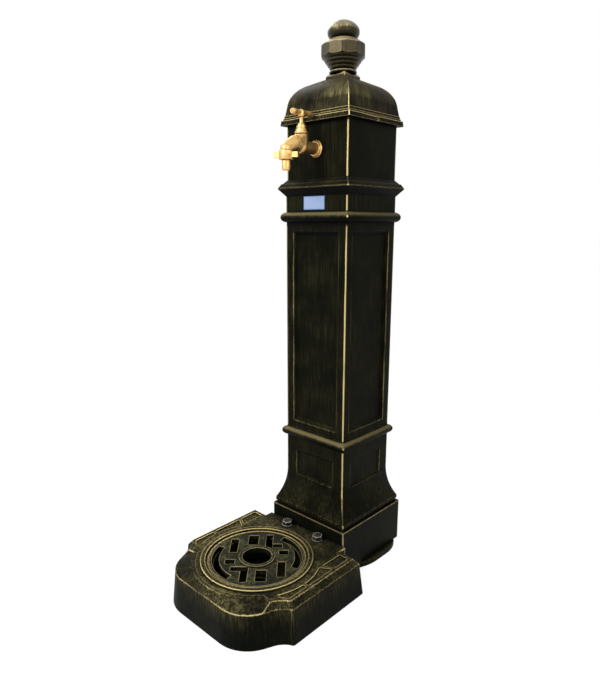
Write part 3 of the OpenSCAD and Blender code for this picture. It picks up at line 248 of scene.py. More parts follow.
@dataclass(frozen=True)
class BronzedCasting(Finish):
    """Cast metal painted near black, with a brushed bronze bloom and gold rubbed on what stands proud.

    The bloom shares say how much bronze stays on walls, slopes and level faces; more towards the top is
    partly brushed bronze and partly painted top light, and bare undersides are painted shade. Upright edges
    take the most gold, level ones the share level_line, and those that face away from the camera at the
    front right the share away_from_highlight, a painted highlight. Round mouldings between the heights
    crests_mm take the share crest on their upper half, rubbed gold with a painted highlight. Gold is rubbed
    on from rub_low_mm above the ground, is complete at rub_high_mm and fades out below rub_end_mm. Brush
    hairs and casting sand are too fine to show, so streak_mm and grain_mm draw them coarser.
    """

    shadow: str = "#0b0c09"
    haze: str = "#5d5936"
    gold: str = "#dcc88c"
    brush: Brush = Brush.DOWN_WALLS
    streak_mm: float = 2.4
    stroke_low: float = 0.3
    stroke_high: float = 1.9
    patch_mm: float = 60.0
    patch_low: float = 0.25
    patch_high: float = 1.7
    edge_mm: float = 3.2
    edge_round: float = 1.4
    edge_start: float = 0.08
    edge_full: float = 0.26
    fray: float = 0.55
    level_line: float = 0.15
    away_from_highlight: float = 0.16
    crests_mm: tuple[tuple[float, float], ...] = ()
    crest: float = 0.22
    underside_shade_tilt: float = -0.2
    wall_bloom: float = 0.05
    slope_bloom_and_light: float = 0.1
    level_bloom_and_light: float = 0.2
    metal_share: float = 1.0
    gloss: float = 0.04
    roughness: float = 0.49
    roughness_spread: float = 0.09
    grain_mm: float = 1.2
    streak_relief: float = 0.8
    bump: float = 0.4
    bump_mm: float = 0.4
    rub_low_mm: float = -60.0
    rub_high_mm: float = -40.0
    rub_low_share: float = 0.15
    rub_end_mm: float = 2000.0
    fade_from_mm: float = 10.0
    fade_to_mm: float = 3.0

    def brush_path(self, tree: Tree, place: Socket, normal: Socket) -> Socket:
        """Coordinates drawn out along the brush strokes.

        Args:
            tree: Node tree of the material.
            place: Socket with coordinates in metres.
            normal: Socket with the surface normal.

        Returns:
            Socket with the drawn coordinates.
        """
        if self.brush is Brush.DOWN_SLOPES:
            side = add(tree, "ShaderNodeVectorMath", {"operation": "ABSOLUTE"}, {0: normal}).outputs[0]
            part = add(tree, "ShaderNodeSeparateXYZ", inputs={0: side}).outputs
            second = add(
                tree, "ShaderNodeMath", {"operation": "GREATER_THAN"}, {0: part["X"], 1: part["Y"]}
            ).outputs[0]
            paths = (DOWN_FRONT_SLOPE, DOWN_SIDE_SLOPE)
        else:
            up = add(tree, "ShaderNodeSeparateXYZ", inputs={0: normal}).outputs["Z"]
            second = add(tree, "ShaderNodeMapRange", SMOOTH, LYING_TILT.read(up)).outputs[0]
            paths = (DOWN_WALL, DABBED)
        path = add(
            tree, "ShaderNodeMix", VECTORS, {SHARE: second, VECTOR_A: paths[0], VECTOR_B: paths[1]}
        ).outputs[VECTOR_OUT]
        return add(tree, "ShaderNodeVectorMath", TIMES, {0: place, 1: path}).outputs[0]

    def crests_rub_and_highlight(self, tree: Tree, place: Socket, tilt: Socket, frayed: Socket, line: Socket) -> Socket:
        """Adds the gold on the upper half of round mouldings, rubbed gold with a painted highlight from
        above.

        Args:
            tree: Node tree of the material.
            place: Socket with coordinates in metres.
            tilt: Socket with the tilt of the surface.
            frayed: Socket with the factor that frays the gold.
            line: Socket with the gold on edges.

        Returns:
            Socket with the gold on edges and crests.
        """
        height = add(tree, "ShaderNodeSeparateXYZ", inputs={0: place}).outputs["Z"]
        for low, high in self.crests_mm:
            crest = add(
                tree,
                "ShaderNodeMath",
                {"operation": "COMPARE"},
                {0: height, 1: (low + high) / 2 * MM, 2: (high - low) / 2 * MM},
            ).outputs[0]
            # painted highlight: only the upper half of the moulding, which faces the light, takes the gold
            upper = add(
                tree, "ShaderNodeMapRange", SMOOTH, {**CREST_TILT.read(tilt), "To Max": self.crest}
            ).outputs[0]
            for factor in (upper, frayed):
                crest = add(tree, "ShaderNodeMath", TIMES, {0: crest, 1: factor}).outputs[0]
            line = add(tree, "ShaderNodeMath", GREATER_OF, {0: line, 1: crest}).outputs[0]
        return line

    def rubbed_edges_and_highlight(self, tree: Tree, place: Socket, streak: Socket) -> Socket:
        """Where gold was rubbed on: edges that stand out and face up or sideways, and crests; edges facing
        the camera keep the most, a painted highlight.

        Args:
            tree: Node tree of the material.
            place: Socket with coordinates in metres.
            streak: Socket with the brush pattern, which frays the lines.

        Returns:
            Socket with nought on plain faces and up to one on edges.
        """
        buried = add(
            tree,
            "ShaderNodeAmbientOcclusion",
            {"inside": True, "only_local": True, "samples": EDGE_RAYS},
            {"Distance": self.edge_mm * MM},
        ).outputs["AO"]
        proud = add(tree, "ShaderNodeMath", {"operation": "SUBTRACT"}, {0: 1.0, 1: buried}).outputs[0]
        frayed = add(
            tree,
            "ShaderNodeMapRange",
            {"clamp": True},
            {**WIDE_NOISE.read(streak), "To Min": 1.0 - self.fray, "To Max": 1.0 + self.fray},
        ).outputs[0]
        line = add(tree, "ShaderNodeMath", TIMES, {0: proud, 1: frayed}).outputs[0]
        whole = Span(self.edge_start, self.edge_full)
        line = add(tree, "ShaderNodeMapRange", SMOOTH, whole.read(line)).outputs[0]
        round_edge = add(
            tree, "ShaderNodeBevel", {"samples": BEVEL_RAYS}, {"Radius": self.edge_round * self.edge_mm * MM}
        ).outputs["Normal"]
        tilt = add(tree, "ShaderNodeSeparateXYZ", inputs={0: round_edge}).outputs["Z"]
        not_under = add(tree, "ShaderNodeMapRange", SMOOTH, UNDER_TILT.read(tilt)).outputs[0]
        upright = add(
            tree,
            "ShaderNodeMapRange",
            SMOOTH,
            {**EDGE_TILT.read(tilt), "To Min": 1.0, "To Max": self.level_line},
        ).outputs[0]
        # painted highlight: edges turned towards the camera keep their gold, those turned away only a small
        # share
        facing = add(
            tree, "ShaderNodeVectorMath", {"operation": "DOT_PRODUCT"}, {0: round_edge, 1: HIGHLIGHT_FROM}
        ).outputs["Value"]
        facing = add(
            tree, "ShaderNodeMapRange", SMOOTH, {**FACING_HIGHLIGHT.read(facing), "To Min": self.away_from_highlight}
        ).outputs[0]
        for share in (not_under, upright, facing):
            line = add(tree, "ShaderNodeMath", TIMES, {0: line, 1: share}).outputs[0]
        return self.crests_rub_and_highlight(tree, place, tilt, frayed, line)

    def bronze_and_top_light(self, tree: Tree, place: Socket, normal: Socket, streak: Socket) -> Socket:
        """Bronze, least on walls and under edges, most on level faces: partly brushed, partly painted top
        light.

        Args:
            tree: Node tree of the material.
            place: Socket with coordinates in metres.
            normal: Socket with the surface normal.
            streak: Socket with the brush pattern.

        Returns:
            Socket with values from nought to one.
        """
        up = add(tree, "ShaderNodeSeparateXYZ", inputs={0: normal}).outputs["Z"]
        amount: Any = 0.0
        # painted top light and shade: faces turned up get more bronze, faces turned down none
        for tilts, more in (
            (Span(self.underside_shade_tilt, 0.0), self.wall_bloom),
            (SLOPE_TILT, self.slope_bloom_and_light - self.wall_bloom),
            (LEVEL_TILT, self.level_bloom_and_light - self.slope_bloom_and_light),
        ):
            step = add(tree, "ShaderNodeMapRange", SMOOTH, {**tilts.read(up), "To Max": more}).outputs[0]
            amount = add(tree, "ShaderNodeMath", PLUS, {0: amount, 1: step}).outputs[0]
        patch = add(
            tree,
            "ShaderNodeTexNoise",
            inputs={"Vector": place, "Scale": per_metre(self.patch_mm), **COARSE_NOISE},
        ).outputs["Fac"]
        patch = add(
            tree,
            "ShaderNodeMapRange",
            SMOOTH,
            {**PATCH_NOISE.read(patch), "To Min": self.patch_low, "To Max": self.patch_high},
        ).outputs[0]
        stroke = add(
            tree,
            "ShaderNodeMapRange",
            SMOOTH,
            {**STROKE_NOISE.read(streak), "To Min": self.stroke_low, "To Max": self.stroke_high},
        ).outputs[0]
        for factor in (patch, stroke):
            amount = add(
                tree, "ShaderNodeMath", {**TIMES, "use_clamp": True}, {0: amount, 1: factor}
            ).outputs[0]
        return amount

    def within_reach(self, tree: Tree, place: Socket) -> Socket:
        """How well the brush and the cloth reach: not into corners, low down or under a moulding.

        Args:
            tree: Node tree of the material.
            place: Socket with coordinates in metres.

        Returns:
            Socket with nought in corners and one in the open.
        """
        reach = add(
            tree, "ShaderNodeAmbientOcclusion", {"samples": EDGE_RAYS}, {"Distance": CREVICE_MM * MM}
        ).outputs["AO"]
        reach = add(tree, "ShaderNodeMapRange", SMOOTH, REACH_AIR.read(reach)).outputs[0]
        height = add(tree, "ShaderNodeSeparateXYZ", inputs={0: place}).outputs["Z"]
        rise = Span(self.rub_low_mm * MM, self.rub_high_mm * MM)
        fade = Span((self.rub_end_mm - self.fade_from_mm) * MM, (self.rub_end_mm - self.fade_to_mm) * MM)
        high = add(
            tree, "ShaderNodeMapRange", SMOOTH, {**rise.read(height), "To Min": self.rub_low_share}
        ).outputs[0]
        below = add(
            tree, "ShaderNodeMapRange", SMOOTH, {**fade.read(height), "To Min": 1.0, "To Max": 0.0}
        ).outputs[0]
        for factor in (high, below):
            reach = add(tree, "ShaderNodeMath", TIMES, {0: reach, 1: factor}).outputs[0]
        return reach

    def build(self) -> bpy.types.Material:
        """Builds the finish.

        Returns:
            The material.
        """
        material, tree, shader = blank_material(self.name)
        place = add(tree, "ShaderNodeTexCoord").outputs["Object"]
        normal = add(tree, "ShaderNodeNewGeometry").outputs["Normal"]
        path = self.brush_path(tree, place, normal)
        streak = add(
            tree,
            "ShaderNodeTexNoise",
            inputs={"Vector": path, "Scale": per_metre(self.streak_mm), **COARSE_NOISE},
        ).outputs["Fac"]
        grain = add(
            tree,
            "ShaderNodeTexNoise",
            inputs={"Vector": place, "Scale": per_metre(self.grain_mm), **FINE_NOISE},
        ).outputs["Fac"]
        reach = self.within_reach(tree, place)
        edges, bronze_and_top_light = (
            add(tree, "ShaderNodeMath", TIMES, {0: layer, 1: reach}).outputs[0]
            for layer in (self.rubbed_edges_and_highlight(tree, place, streak), self.bronze_and_top_light(tree, place, normal, streak))
        )
        paint: Any = srgb(self.shadow)
        for layer, colour in ((bronze_and_top_light, self.haze), (edges, self.gold)):
            paint = add(
                tree, "ShaderNodeMix", COLOURS, {SHARE: layer, COLOUR_A: paint, COLOUR_B: srgb(colour)}
            ).outputs[COLOUR_OUT]
        tree.links.new(paint, shader.inputs["Base Color"])
        metal = add(tree, "ShaderNodeMath", GREATER_OF, {0: edges, 1: bronze_and_top_light}).outputs[0]
        metal = add(tree, "ShaderNodeMath", TIMES, {0: metal, 1: self.metal_share}).outputs[0]
        tree.links.new(metal, shader.inputs["Metallic"])
        rough = add(
            tree,
            "ShaderNodeMapRange",
            inputs={
                **WIDE_NOISE.read(grain),
                "To Min": self.roughness - self.roughness_spread,
                "To Max": self.roughness + self.roughness_spread,
            },
        ).outputs[0]
        tree.links.new(rough, shader.inputs["Roughness"])
        shader.inputs["Specular IOR Level"].default_value = self.gloss
        shader.inputs["Specular Tint"].default_value = srgb(self.haze)
        relief = add(
            tree,
            "ShaderNodeMath",
            {"operation": "MULTIPLY_ADD"},
            {0: streak, 1: self.streak_relief, 2: grain},
        ).outputs[0]
        bump = add(
            tree,
            "ShaderNodeBump",
            inputs={"Strength": self.bump, "Distance": self.bump_mm * MM, "Height": relief},
        )
        tree.links.new(bump.outputs["Normal"], shader.inputs["Normal"])
        return material


@dataclass(frozen=True)
class PlainMetal(Finish):
    """Bare or plated metal with handling marks, dull in patches, and darker in crevices as painted shade.

    Tool marks are too fine to show, so grain_mm draws them coarser.
    """

    colour: str
    dull_and_shade: str
    roughness: float
    smoother: float = 0.07
    rougher: float = 0.1
    mark_mm: float = 6.0
    grain_mm: float = 0.7
    crevice_shade: float = 0.7
    bump: float = 0.1
    bump_mm: float = 0.2

    def build(self) -> bpy.types.Material:
        """Builds the finish.

        Returns:
            The material.
        """
        material, tree, shader = blank_material(self.name)
        place = add(tree, "ShaderNodeTexCoord").outputs["Object"]
        mark = add(
            tree,
            "ShaderNodeTexNoise",
            inputs={"Vector": place, "Scale": per_metre(self.mark_mm), **COARSE_NOISE},
        ).outputs["Fac"]
        grain = add(
            tree,
            "ShaderNodeTexNoise",
            inputs={"Vector": place, "Scale": per_metre(self.grain_mm), **FINE_NOISE},
        ).outputs["Fac"]
        patch = add(tree, "ShaderNodeMapRange", SMOOTH, MARK_NOISE.read(mark)).outputs[0]
        # painted shade: the dull colour is mixed in where crevices hem the surface in
        crevice = add(
            tree, "ShaderNodeAmbientOcclusion", {"samples": CREVICE_RAYS}, {"Distance": CREVICE_MM * MM}
        ).outputs["AO"]
        crevice_shade = add(
            tree, "ShaderNodeMapRange", SMOOTH, {**CREVICE_SHADE_AIR.read(crevice), "To Max": self.crevice_shade}
        ).outputs[0]
        marks_and_shade = add(tree, "ShaderNodeMath", GREATER_OF, {0: patch, 1: crevice_shade}).outputs[0]
        colour = add(
            tree,
            "ShaderNodeMix",
            COLOURS,
            {SHARE: marks_and_shade, COLOUR_A: srgb(self.colour), COLOUR_B: srgb(self.dull_and_shade)},
        ).outputs[COLOUR_OUT]
        tree.links.new(colour, shader.inputs["Base Color"])
        shader.inputs["Metallic"].default_value = 1.0
        rough = add(
            tree,
            "ShaderNodeMapRange",
            inputs={
                **WIDE_NOISE.read(mark),
                "To Min": self.roughness - self.smoother,
                "To Max": self.roughness + self.rougher,
            },
        ).outputs[0]
        tree.links.new(rough, shader.inputs["Roughness"])
        bump = add(
            tree,
            "ShaderNodeBump",
            inputs={"Strength": self.bump, "Distance": self.bump_mm * MM, "Height": grain},
        )
        tree.links.new(bump.outputs["Normal"], shader.inputs["Normal"])
        return material


@dataclass(frozen=True)
class SoftStuff(Finish):
    """Rubber, fibre, packing or film: no metal, slightly mottled."""

    colour: str
    other: str
    roughness: float
    mottle_mm: float = 2.0

    def build(self) -> bpy.types.Material:
        """Builds the finish.

        Returns:
            The material.
        """
        material, tree, shader = blank_material(self.name)
        place = add(tree, "ShaderNodeTexCoord").outputs["Object"]
        mottle = add(
            tree,
            "ShaderNodeTexNoise",
            inputs={"Vector": place, "Scale": per_metre(self.mottle_mm), **COARSE_NOISE},
        ).outputs["Fac"]
        colour = add(
            tree,
            "ShaderNodeMix",
            COLOURS,
            {SHARE: mottle, COLOUR_A: srgb(self.colour), COLOUR_B: srgb(self.other)},
        ).outputs[COLOUR_OUT]
        tree.links.new(colour, shader.inputs["Base Color"])
        shader.inputs["Roughness"].default_value = self.roughness
        return material


@dataclass
class Dressing:
    """Finish for one CAD node, with softened edges or with fillets cast into its hollows.

    A fillet is made by swelling the piece by fillet_mm and shrinking it again, in a skin of small cubes of
    the size skin_mm, which is then smoothed. Corners of loose triangles join where they are weld_mm apart.
    """

    node: str
    finish: Finish
    soften_mm: float = 0.0
    segments: int = 2
    sharp_deg: float = 32.0
    weld_mm: float = 0.002
    fillet_mm: float = 0.0
    skin_mm: float = 0.5
    blend: float = 0.5
    blend_rounds: int = 30

    def piece(self) -> bpy.types.Object:
        """The node's own object."""
        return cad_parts[self.node]

    def soften(self, piece: bpy.types.Object) -> None:
        """Rounds the sharp edges of a piece.

        Args:
            piece: The piece.
        """
        weld = piece.modifiers.new("weld", "WELD")
        weld.merge_threshold = self.weld_mm * MM
        soften = piece.modifiers.new("soften", "BEVEL")
        soften.width = self.soften_mm * MM
        soften.segments = self.segments
        soften.limit_method = "ANGLE"
        soften.angle_limit = math.radians(self.sharp_deg)
        soften.miter_outer = "MITER_ARC"

    def skin(self, piece: bpy.types.Object) -> None:
        """Wraps a piece in one closed skin.

        Args:
            piece: The piece.
        """
        skin = piece.modifiers.new("skin", "REMESH")
        skin.mode = "VOXEL"
        skin.voxel_size = self.skin_mm * MM
        skin.use_smooth_shade = True

    def fillet(self, piece: bpy.types.Object) -> None:
        """Fills the hollows of a piece with fillets.

        Args:
            piece: The piece.
        """
        self.skin(piece)
        for move_mm in (self.fillet_mm, -self.fillet_mm):
            swell = piece.modifiers.new("swell", "DISPLACE")
            swell.mid_level = 0.0
            swell.strength = move_mm * MM
            self.skin(piece)
        blend = piece.modifiers.new("blend", "SMOOTH")
        blend.factor = self.blend
        blend.iterations = self.blend_rounds

    def apply(self, made: dict[str, bpy.types.Material]) -> None:
        """Gives the piece its finish and its rounded edges and hollows.

        Args:
            made: Materials already built, by name.
        """
        piece = self.piece()
        if self.finish.name not in made:
            made[self.finish.name] = self.finish.build()
        piece.data.materials.clear()
        piece.data.materials.append(made[self.finish.name])
        if self.soften_mm:
            self.soften(piece)
        if self.fillet_mm:
            self.fillet(piece)
        LOG.info("%s wears %s", piece.name, self.finish.name)


@dataclass(frozen=True)
class Ball:
    """Ball in the middle plane of the tap, with its distance towards the back and its height."""

    back_mm: float
    height_mm: float
    radius_mm: float


@dataclass
class FullCasting(Dressing):
    """Tap body with the full back of a casting, from the collar under the bonnet to the nozzle.

    The form is stretched round the collar and round balls in the tower, the back and the bend.
    """

    collar_mm: Place = (0.0, 14.0, 802.0)
    collar_radius_mm: float = 11.0
    collar_sides: int = 64
    balls: tuple[Ball, ...] = (Ball(14.0, 786.0, 11.0), Ball(-4.0, 788.0, 11.0), Ball(-17.5, 782.5, 9.2))
    ball_splits: int = 4

    def piece(self) -> bpy.types.Object:
        """Adds the fuller form to a copy of the node's mesh.

        Returns:
            The new piece, which stands for the node.
        """
        shape = bmesh.new()
        bmesh.ops.create_circle(
            shape,
            segments=self.collar_sides,
            radius=self.collar_radius_mm * MM,
            matrix=Matrix.Translation(Vector(self.collar_mm) * MM),
        )
        for ball in self.balls:
            bmesh.ops.create_icosphere(
                shape,
                subdivisions=self.ball_splits,
                radius=ball.radius_mm * MM,
                matrix=Matrix.Translation(Vector((0.0, ball.back_mm, ball.height_mm)) * MM),
            )
        bmesh.ops.delete(shape, geom=shape.faces[:], context="FACES_ONLY")
        bmesh.ops.convex_hull(shape, input=shape.verts[:])
        bmesh.ops.recalc_face_normals(shape, faces=shape.faces[:])
        shape.from_mesh(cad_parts[self.node].data)
        bmesh.ops.remove_doubles(shape, verts=shape.verts[:], dist=self.weld_mm * MM)
        piece = placed("tap_body_cast", shape)
        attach(piece, FIXED_BODY)
        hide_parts(self.node)
        return piece


@dataclass
class BlankLabel:
    """Small printed label without words on the front of the frieze."""

    middle_mm: Place = (-3.0, 49.7, 692.8)
    width_mm: float = 49.0
    height_mm: float = 23.0
    edge_mm: float = 1.3
    thick_mm: float = 0.25
    field_rise_mm: float = 0.1

    def sheet(self, name: str, inset_mm: float, rise_mm: float, film: SoftStuff) -> None:
        """One thin rectangle of film with its back on the frieze.

        Args:
            name: Name of the piece.
            inset_mm: How far its outline lies inside the label's.
            rise_mm: Distance of its face from the frieze.
            film: What the film looks like.
        """
        size = Vector((self.width_mm - 2 * inset_mm, rise_mm, self.height_mm - 2 * inset_mm)) * MM
        middle = (Vector(self.middle_mm) - Vector((0.0, rise_mm / 2, 0.0))) * MM
        shape = bmesh.new()
        bmesh.ops.create_cube(
            shape, size=1.0, matrix=Matrix.Translation(middle) @ Matrix.Diagonal(size).to_4x4()
        )
        piece = placed(name, shape)
        piece.data.materials.append(film.build())
        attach(piece, FIXED_BODY)
        LOG.info("%s wears %s", name, film.name)

    def build(self) -> None:
        """Adds the darker border and the paler field."""
        self.sheet("label_border", 0.0, self.thick_mm, BORDER_FILM)
        self.sheet("label_field", self.edge_mm, self.thick_mm + self.field_rise_mm, FIELD_FILM)


@dataclass(frozen=True)
class SoftBox:
    """Square soft lamp, with its place and its edge in metres."""

    name: str
    at: Place
    size: float
    watts: float

    def hang(self, aim: Vector) -> None:
        """Hangs the lamp and turns it to a point.

        Args:
            aim: Point that it faces.
        """
        data = bpy.data.lights.new(self.name, "AREA")
        data.size = self.size
        data.energy = self.watts
        lamp = bpy.data.objects.new(self.name, data)
        lamp.location = self.at
        lamp.rotation_euler = (aim - Vector(self.at)).to_track_quat("-Z", "Y").to_euler()
        bpy.context.scene.collection.objects.link(lamp)


@dataclass
class Studio:
    """Camera, floor and soft light, in metres."""

    camera_at: Place = (0.6846, -0.7170, 0.6576)
    pitch_deg: float = 77.39
    turn_deg: float = 43.26
    lens_mm: float = 29.12
    sensor_mm: float = 36.0
    nearest: float = 0.01
    floor_half: float = 30.0
    floor_white: str = "#f4f4f4"
    floor_roughness: float = 0.9
    floor_glow: float = 1.06
    floor_shade_reach: float = 0.15
    # painted shade under the drain: its colour and its radius
    drain_shade_colour: str = "#141412"
    drain_shade_radius: float = 0.04
    white: str = "#ffffff"
    white_share: float = 0.93
    fill_light: float = 0.26
    lamps_aim: Place = (0.0, 0.05, 0.5)
    lamps: tuple[SoftBox, ...] = (
        SoftBox("key", (-0.3, -2.2, 1.9), 1.0, 58.0),
        SoftBox("rim", (-1.6, 0.7, 2.1), 0.9, 12.0),
        SoftBox("side", (1.9, -0.5, 1.3), 0.8, 8.0),
    )

    def camera(self) -> None:
        """Sets the camera where the photographer stood."""
        data = bpy.data.cameras.new("camera")
        data.lens = self.lens_mm
        data.sensor_width = self.sensor_mm
        data.sensor_fit = "AUTO"
        data.clip_start = self.nearest
        camera = bpy.data.objects.new("camera", data)
        camera.location = self.camera_at
        camera.rotation_euler = (math.radians(self.pitch_deg), 0.0, math.radians(self.turn_deg))
        bpy.context.scene.collection.objects.link(camera)
        bpy.context.scene.camera = camera

    def seen_directly(self, tree: Tree) -> Socket:
        """One for rays that show the background, straight, mirrored or through glass, nought for light.

        Args:
            tree: Node tree of the floor or the world.

        Returns:
            Socket with the answer.
        """
        rays = add(tree, "ShaderNodeLightPath").outputs
        seen = rays["Is Camera Ray"]
        for kind in ("Is Glossy Ray", "Is Transmission Ray"):
            seen = add(tree, "ShaderNodeMath", GREATER_OF, {0: seen, 1: rays[kind]}).outputs[0]
        return seen

    def outside_drain_shade(self, tree: Tree) -> Socket:
        """One on the floor, nought in a disc of painted shade under the drain of the tray.

        Args:
            tree: Node tree of the floor.

        Returns:
            Socket with the answer.
        """
        low, high = extent_mm("drain_grate")
        middle = (low + high) / 2 * MM
        place = add(tree, "ShaderNodeTexCoord").outputs["Object"]
        away = add(
            tree, "ShaderNodeVectorMath", {"operation": "DISTANCE"}, {0: place, 1: (middle.x, middle.y, 0.0)}
        ).outputs["Value"]
        return add(
            tree, "ShaderNodeMath", {"operation": "GREATER_THAN"}, {0: away, 1: self.drain_shade_radius}
        ).outputs[0]

    def floor(self) -> None:
        """Lays a wide white floor that keeps a faint shadow, with a dark disc of painted shade under the
        tray's drain.
        """
        shape = bmesh.new()
        bmesh.ops.create_grid(shape, x_segments=1, y_segments=1, size=self.floor_half)
        floor = placed("floor", shape)
        material, tree, shader = blank_material("floor_white_matt")
        # painted shade: a near-black disc on the floor under the drain hole, where the white glow is also
        # turned off
        unshaded_floor = self.outside_drain_shade(tree)
        colour = add(
            tree,
            "ShaderNodeMix",
            COLOURS,
            {SHARE: unshaded_floor, COLOUR_A: srgb(self.drain_shade_colour), COLOUR_B: srgb(self.floor_white)},
        ).outputs[COLOUR_OUT]
        tree.links.new(colour, shader.inputs["Base Color"])
        shader.inputs["Roughness"].default_value = self.floor_roughness
        shader.inputs["Specular IOR Level"].default_value = 0.0
        glow = add(
            tree, "ShaderNodeEmission", inputs={"Color": srgb(self.white), "Strength": self.floor_glow}
        ).outputs[0]
        # contact shade, partly painted: the white glow fades out where the floor is hemmed in next to and
        # under the object, so the lit floor and its real shadow show there
        share = add(
            tree, "ShaderNodeAmbientOcclusion", {"samples": FLOOR_RAYS}, {"Distance": self.floor_shade_reach}
        ).outputs["AO"]
        share = add(
            tree, "ShaderNodeMapRange", SMOOTH, {**FLOOR_SHADE_AIR.read(share), "To Max": self.white_share}
        ).outputs[0]
        for factor in (self.seen_directly(tree), unshaded_floor):
            share = add(tree, "ShaderNodeMath", TIMES, {0: share, 1: factor}).outputs[0]
        both = add(
            tree, "ShaderNodeMixShader", inputs={0: share, 1: shader.outputs["BSDF"], 2: glow}
        ).outputs[0]
        add(tree, "ShaderNodeOutputMaterial", {"is_active_output": True}, {"Surface": both})
        floor.data.materials.append(material)

    def world(self) -> None:
        """Soft light all round, and white where the background shows."""
        world = bpy.data.worlds.new("studio")
        world.use_nodes = True
        tree = world.node_tree
        tree.nodes.clear()
        strength = add(
            tree,
            "ShaderNodeMapRange",
            inputs={"Value": self.seen_directly(tree), "To Min": self.fill_light, "To Max": 1.0},
        ).outputs[0]
        back = add(tree, "ShaderNodeBackground", inputs={"Color": srgb(self.white), "Strength": strength})
        add(tree, "ShaderNodeOutputWorld", inputs={"Surface": back.outputs[0]})
        bpy.context.scene.world = world

    def build(self) -> None:
        """Sets up the whole studio."""
        bpy.context.scene.view_settings.view_transform = "Standard"
        self.camera()
        self.floor()
        self.world()
        for lamp in self.lamps:
            lamp.hang(Vector(self.lamps_aim))


# near-black green paint with hardly any bloom; corners and round mouldings are rubbed to pale gold, the
# mouldings with a painted highlight on their upper half
COLUMN = BronzedCasting("cast_iron_antique_bronze_column", crests_mm=TORUSES_MM)
# the shaft has the same paint, left dark just under the moulding above it
SHAFT = BronzedCasting("cast_iron_antique_bronze_shaft", rub_end_mm=HEAD_FOOT_MM)
# the cap has a busier bloom of fine strokes down its four curved faces
CAP = BronzedCasting(
    "cast_iron_antique_bronze_cap",
    haze="#7b7250",
    brush=Brush.DOWN_SLOPES,
    streak_mm=1.8,
    edge_mm=2.2,
    fray=0.2,
    level_line=0.75,
    wall_bloom=0.07,
    slope_bloom_and_light=0.36,
    level_bloom_and_light=0.5,
)
# the tray has bright rims and a bloom over most of its top, with drips of bronze that fade down its walls
TRAY = BronzedCasting(
    "cast_iron_antique_bronze_tray",
    shadow="#0b0e0c",
    haze="#6b6342",
    edge_mm=3.1,
    edge_full=0.22,
    level_line=1.0,
    away_from_highlight=0.3,
    wall_bloom=0.15,
    slope_bloom_and_light=0.2,
    level_bloom_and_light=0.34,
    rub_low_mm=24.0,
    rub_high_mm=64.0,
)
# the grate is greener, with thin gold lines round its slots
GRATE = BronzedCasting(
    "cast_iron_antique_bronze_grate",
    shadow="#121613",
    haze="#5e5d44",
    edge_mm=1.5,
    level_line=0.55,
    away_from_highlight=0.6,
    level_bloom_and_light=0.3,
)
# the sole plate stays dull, with no gold
SOLE = BronzedCasting(
    "cast_iron_antique_bronze_sole",
    edge_start=0.5,
    edge_full=1.0,
    wall_bloom=0.2,
    slope_bloom_and_light=0.3,
    level_bloom_and_light=0.35,
)
# the finial is the brightest casting, partly rubbed cream and partly painted top light on top, with painted
# shade underneath
FINIAL = BronzedCasting(
    "cast_iron_antique_bronze_finial",
    haze="#d2bf92",
    stroke_low=0.5,
    stroke_high=1.4,
    edge_mm=2.0,
    level_line=0.7,
    away_from_highlight=0.3,
    underside_shade_tilt=-0.5,
    wall_bloom=0.07,
    slope_bloom_and_light=0.75,
    level_bloom_and_light=0.95,
    metal_share=0.15,
    gloss=0.4,
    roughness=0.32,
)
# dark steel gone dull, bright along its corners, partly worn and partly painted glints
BOLT_STEEL = BronzedCasting(
    "steel_bolt_weathered",
    shadow="#17181a",
    haze="#7a7566",
    gold="#f0ead8",
    edge_mm=1.6,
    level_line=0.9,
    away_from_highlight=0.7,
    wall_bloom=0.3,
    slope_bloom_and_light=0.4,
    level_bloom_and_light=0.4,
)
# warm pale brass, cast and lightly polished, browner in patches, with painted shade in crevices
BRASS = PlainMetal("brass_cast_polished", "#e6be7c", "#a0702f", 0.42)
# dull grey zinc with pale bloom, and painted shade in crevices
ZINC = PlainMetal("steel_zinc_plated", "#a9a9a4", "#8a8a86", 0.42)
# black oxide skin, worn grey where the key turns, and painted shade in crevices
BLACK_STEEL = PlainMetal("steel_black_oxide", "#4a4a48", "#2c2c2b", 0.4)
# drawn copper tube with brown bloom, and painted shade in crevices
COPPER = PlainMetal("copper_drawn", "#b87350", "#8f5337", 0.35)
# matt black rubber
RUBBER = SoftStuff("rubber_black_matt", "#141414", "#1c1c1c", 0.7)
# red fibre washer
FIBRE = SoftStuff("fibre_red_matt", "#6b2a20", "#7a3327", 0.8)
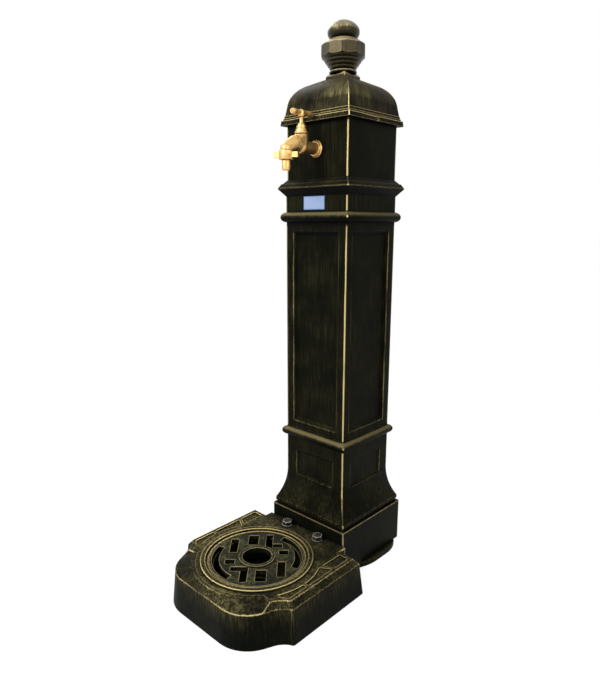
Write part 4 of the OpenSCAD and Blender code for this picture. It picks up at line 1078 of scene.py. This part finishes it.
# off-white braided packing
PACKING = SoftStuff("packing_offwhite", "#cfcabb", "#bdb7a6", 0.85)
# printed film with a silky face: mid blue round the edge, paler inside
BORDER_FILM = SoftStuff("label_film_blue_border", "#5f83bd", "#6a8cc3", 0.45)
FIELD_FILM = SoftStuff("label_film_pale_blue", "#8b9ec4", "#96a8cb", 0.45)

DRESSINGS: list[Dressing] = [
    Dressing("base_tray", TRAY, 0.8),
    Dressing("drain_grate", GRATE, 0.6),
    Dressing("sole_plate", SOLE, 1.5),
    Dressing("pedestal", COLUMN, 1.8, 3),
    Dressing("shaft", SHAFT, 1.8, 3),
    Dressing("head", COLUMN, 1.8, 3),
    Dressing("cap", CAP, 0.6),
    Dressing("finial", FINIAL, 0.8),
    Dressing("tray_bolts", BOLT_STEEL, 0.5),
    Dressing("tray_washers", BOLT_STEEL, 0.3),
    Dressing("cap_screws", BLACK_STEEL),
    *[Dressing(n, BRASS, 0.4) for n in ("wall_flange", "bonnet", "gland_nut", "union_nut", "hose_tail")],
    FullCasting("tap_body", BRASS, fillet_mm=4.0),
    *[Dressing(n, BRASS, 0.3) for n in ("spindle", "tee_handle", "handle_screw")],
    *[Dressing(n, BRASS) for n in ("valve_carrier", "washer_nut", "tap_elbow", "supply_elbow")],
    *[Dressing(n, BRASS, 0.5) for n in ("supply_pipe", "supply_nuts")],
    *[Dressing(n, ZINC) for n in ("foot_bolts", "foot_nuts", "joint_bolts", "joint_nuts", "finial_stud")],
    *[Dressing(n, ZINC) for n in ("finial_nut", "elbow_screws", "pipe_clip", "clip_screws")],
    Dressing("riser_pipe", COPPER),
    Dressing("tap_washer", RUBBER),
    Dressing("union_washer", RUBBER),
    Dressing("bonnet_washer", FIBRE),
    Dressing("gland_packing", PACKING),
]


def main() -> None:
    """Dresses every node, adds the label and sets up the studio."""
    made: dict[str, bpy.types.Material] = {}
    for dressing in DRESSINGS:
        dressing.apply(made)
    BlankLabel().build()
    Studio().build()


if __name__ == "__main__":
    main()
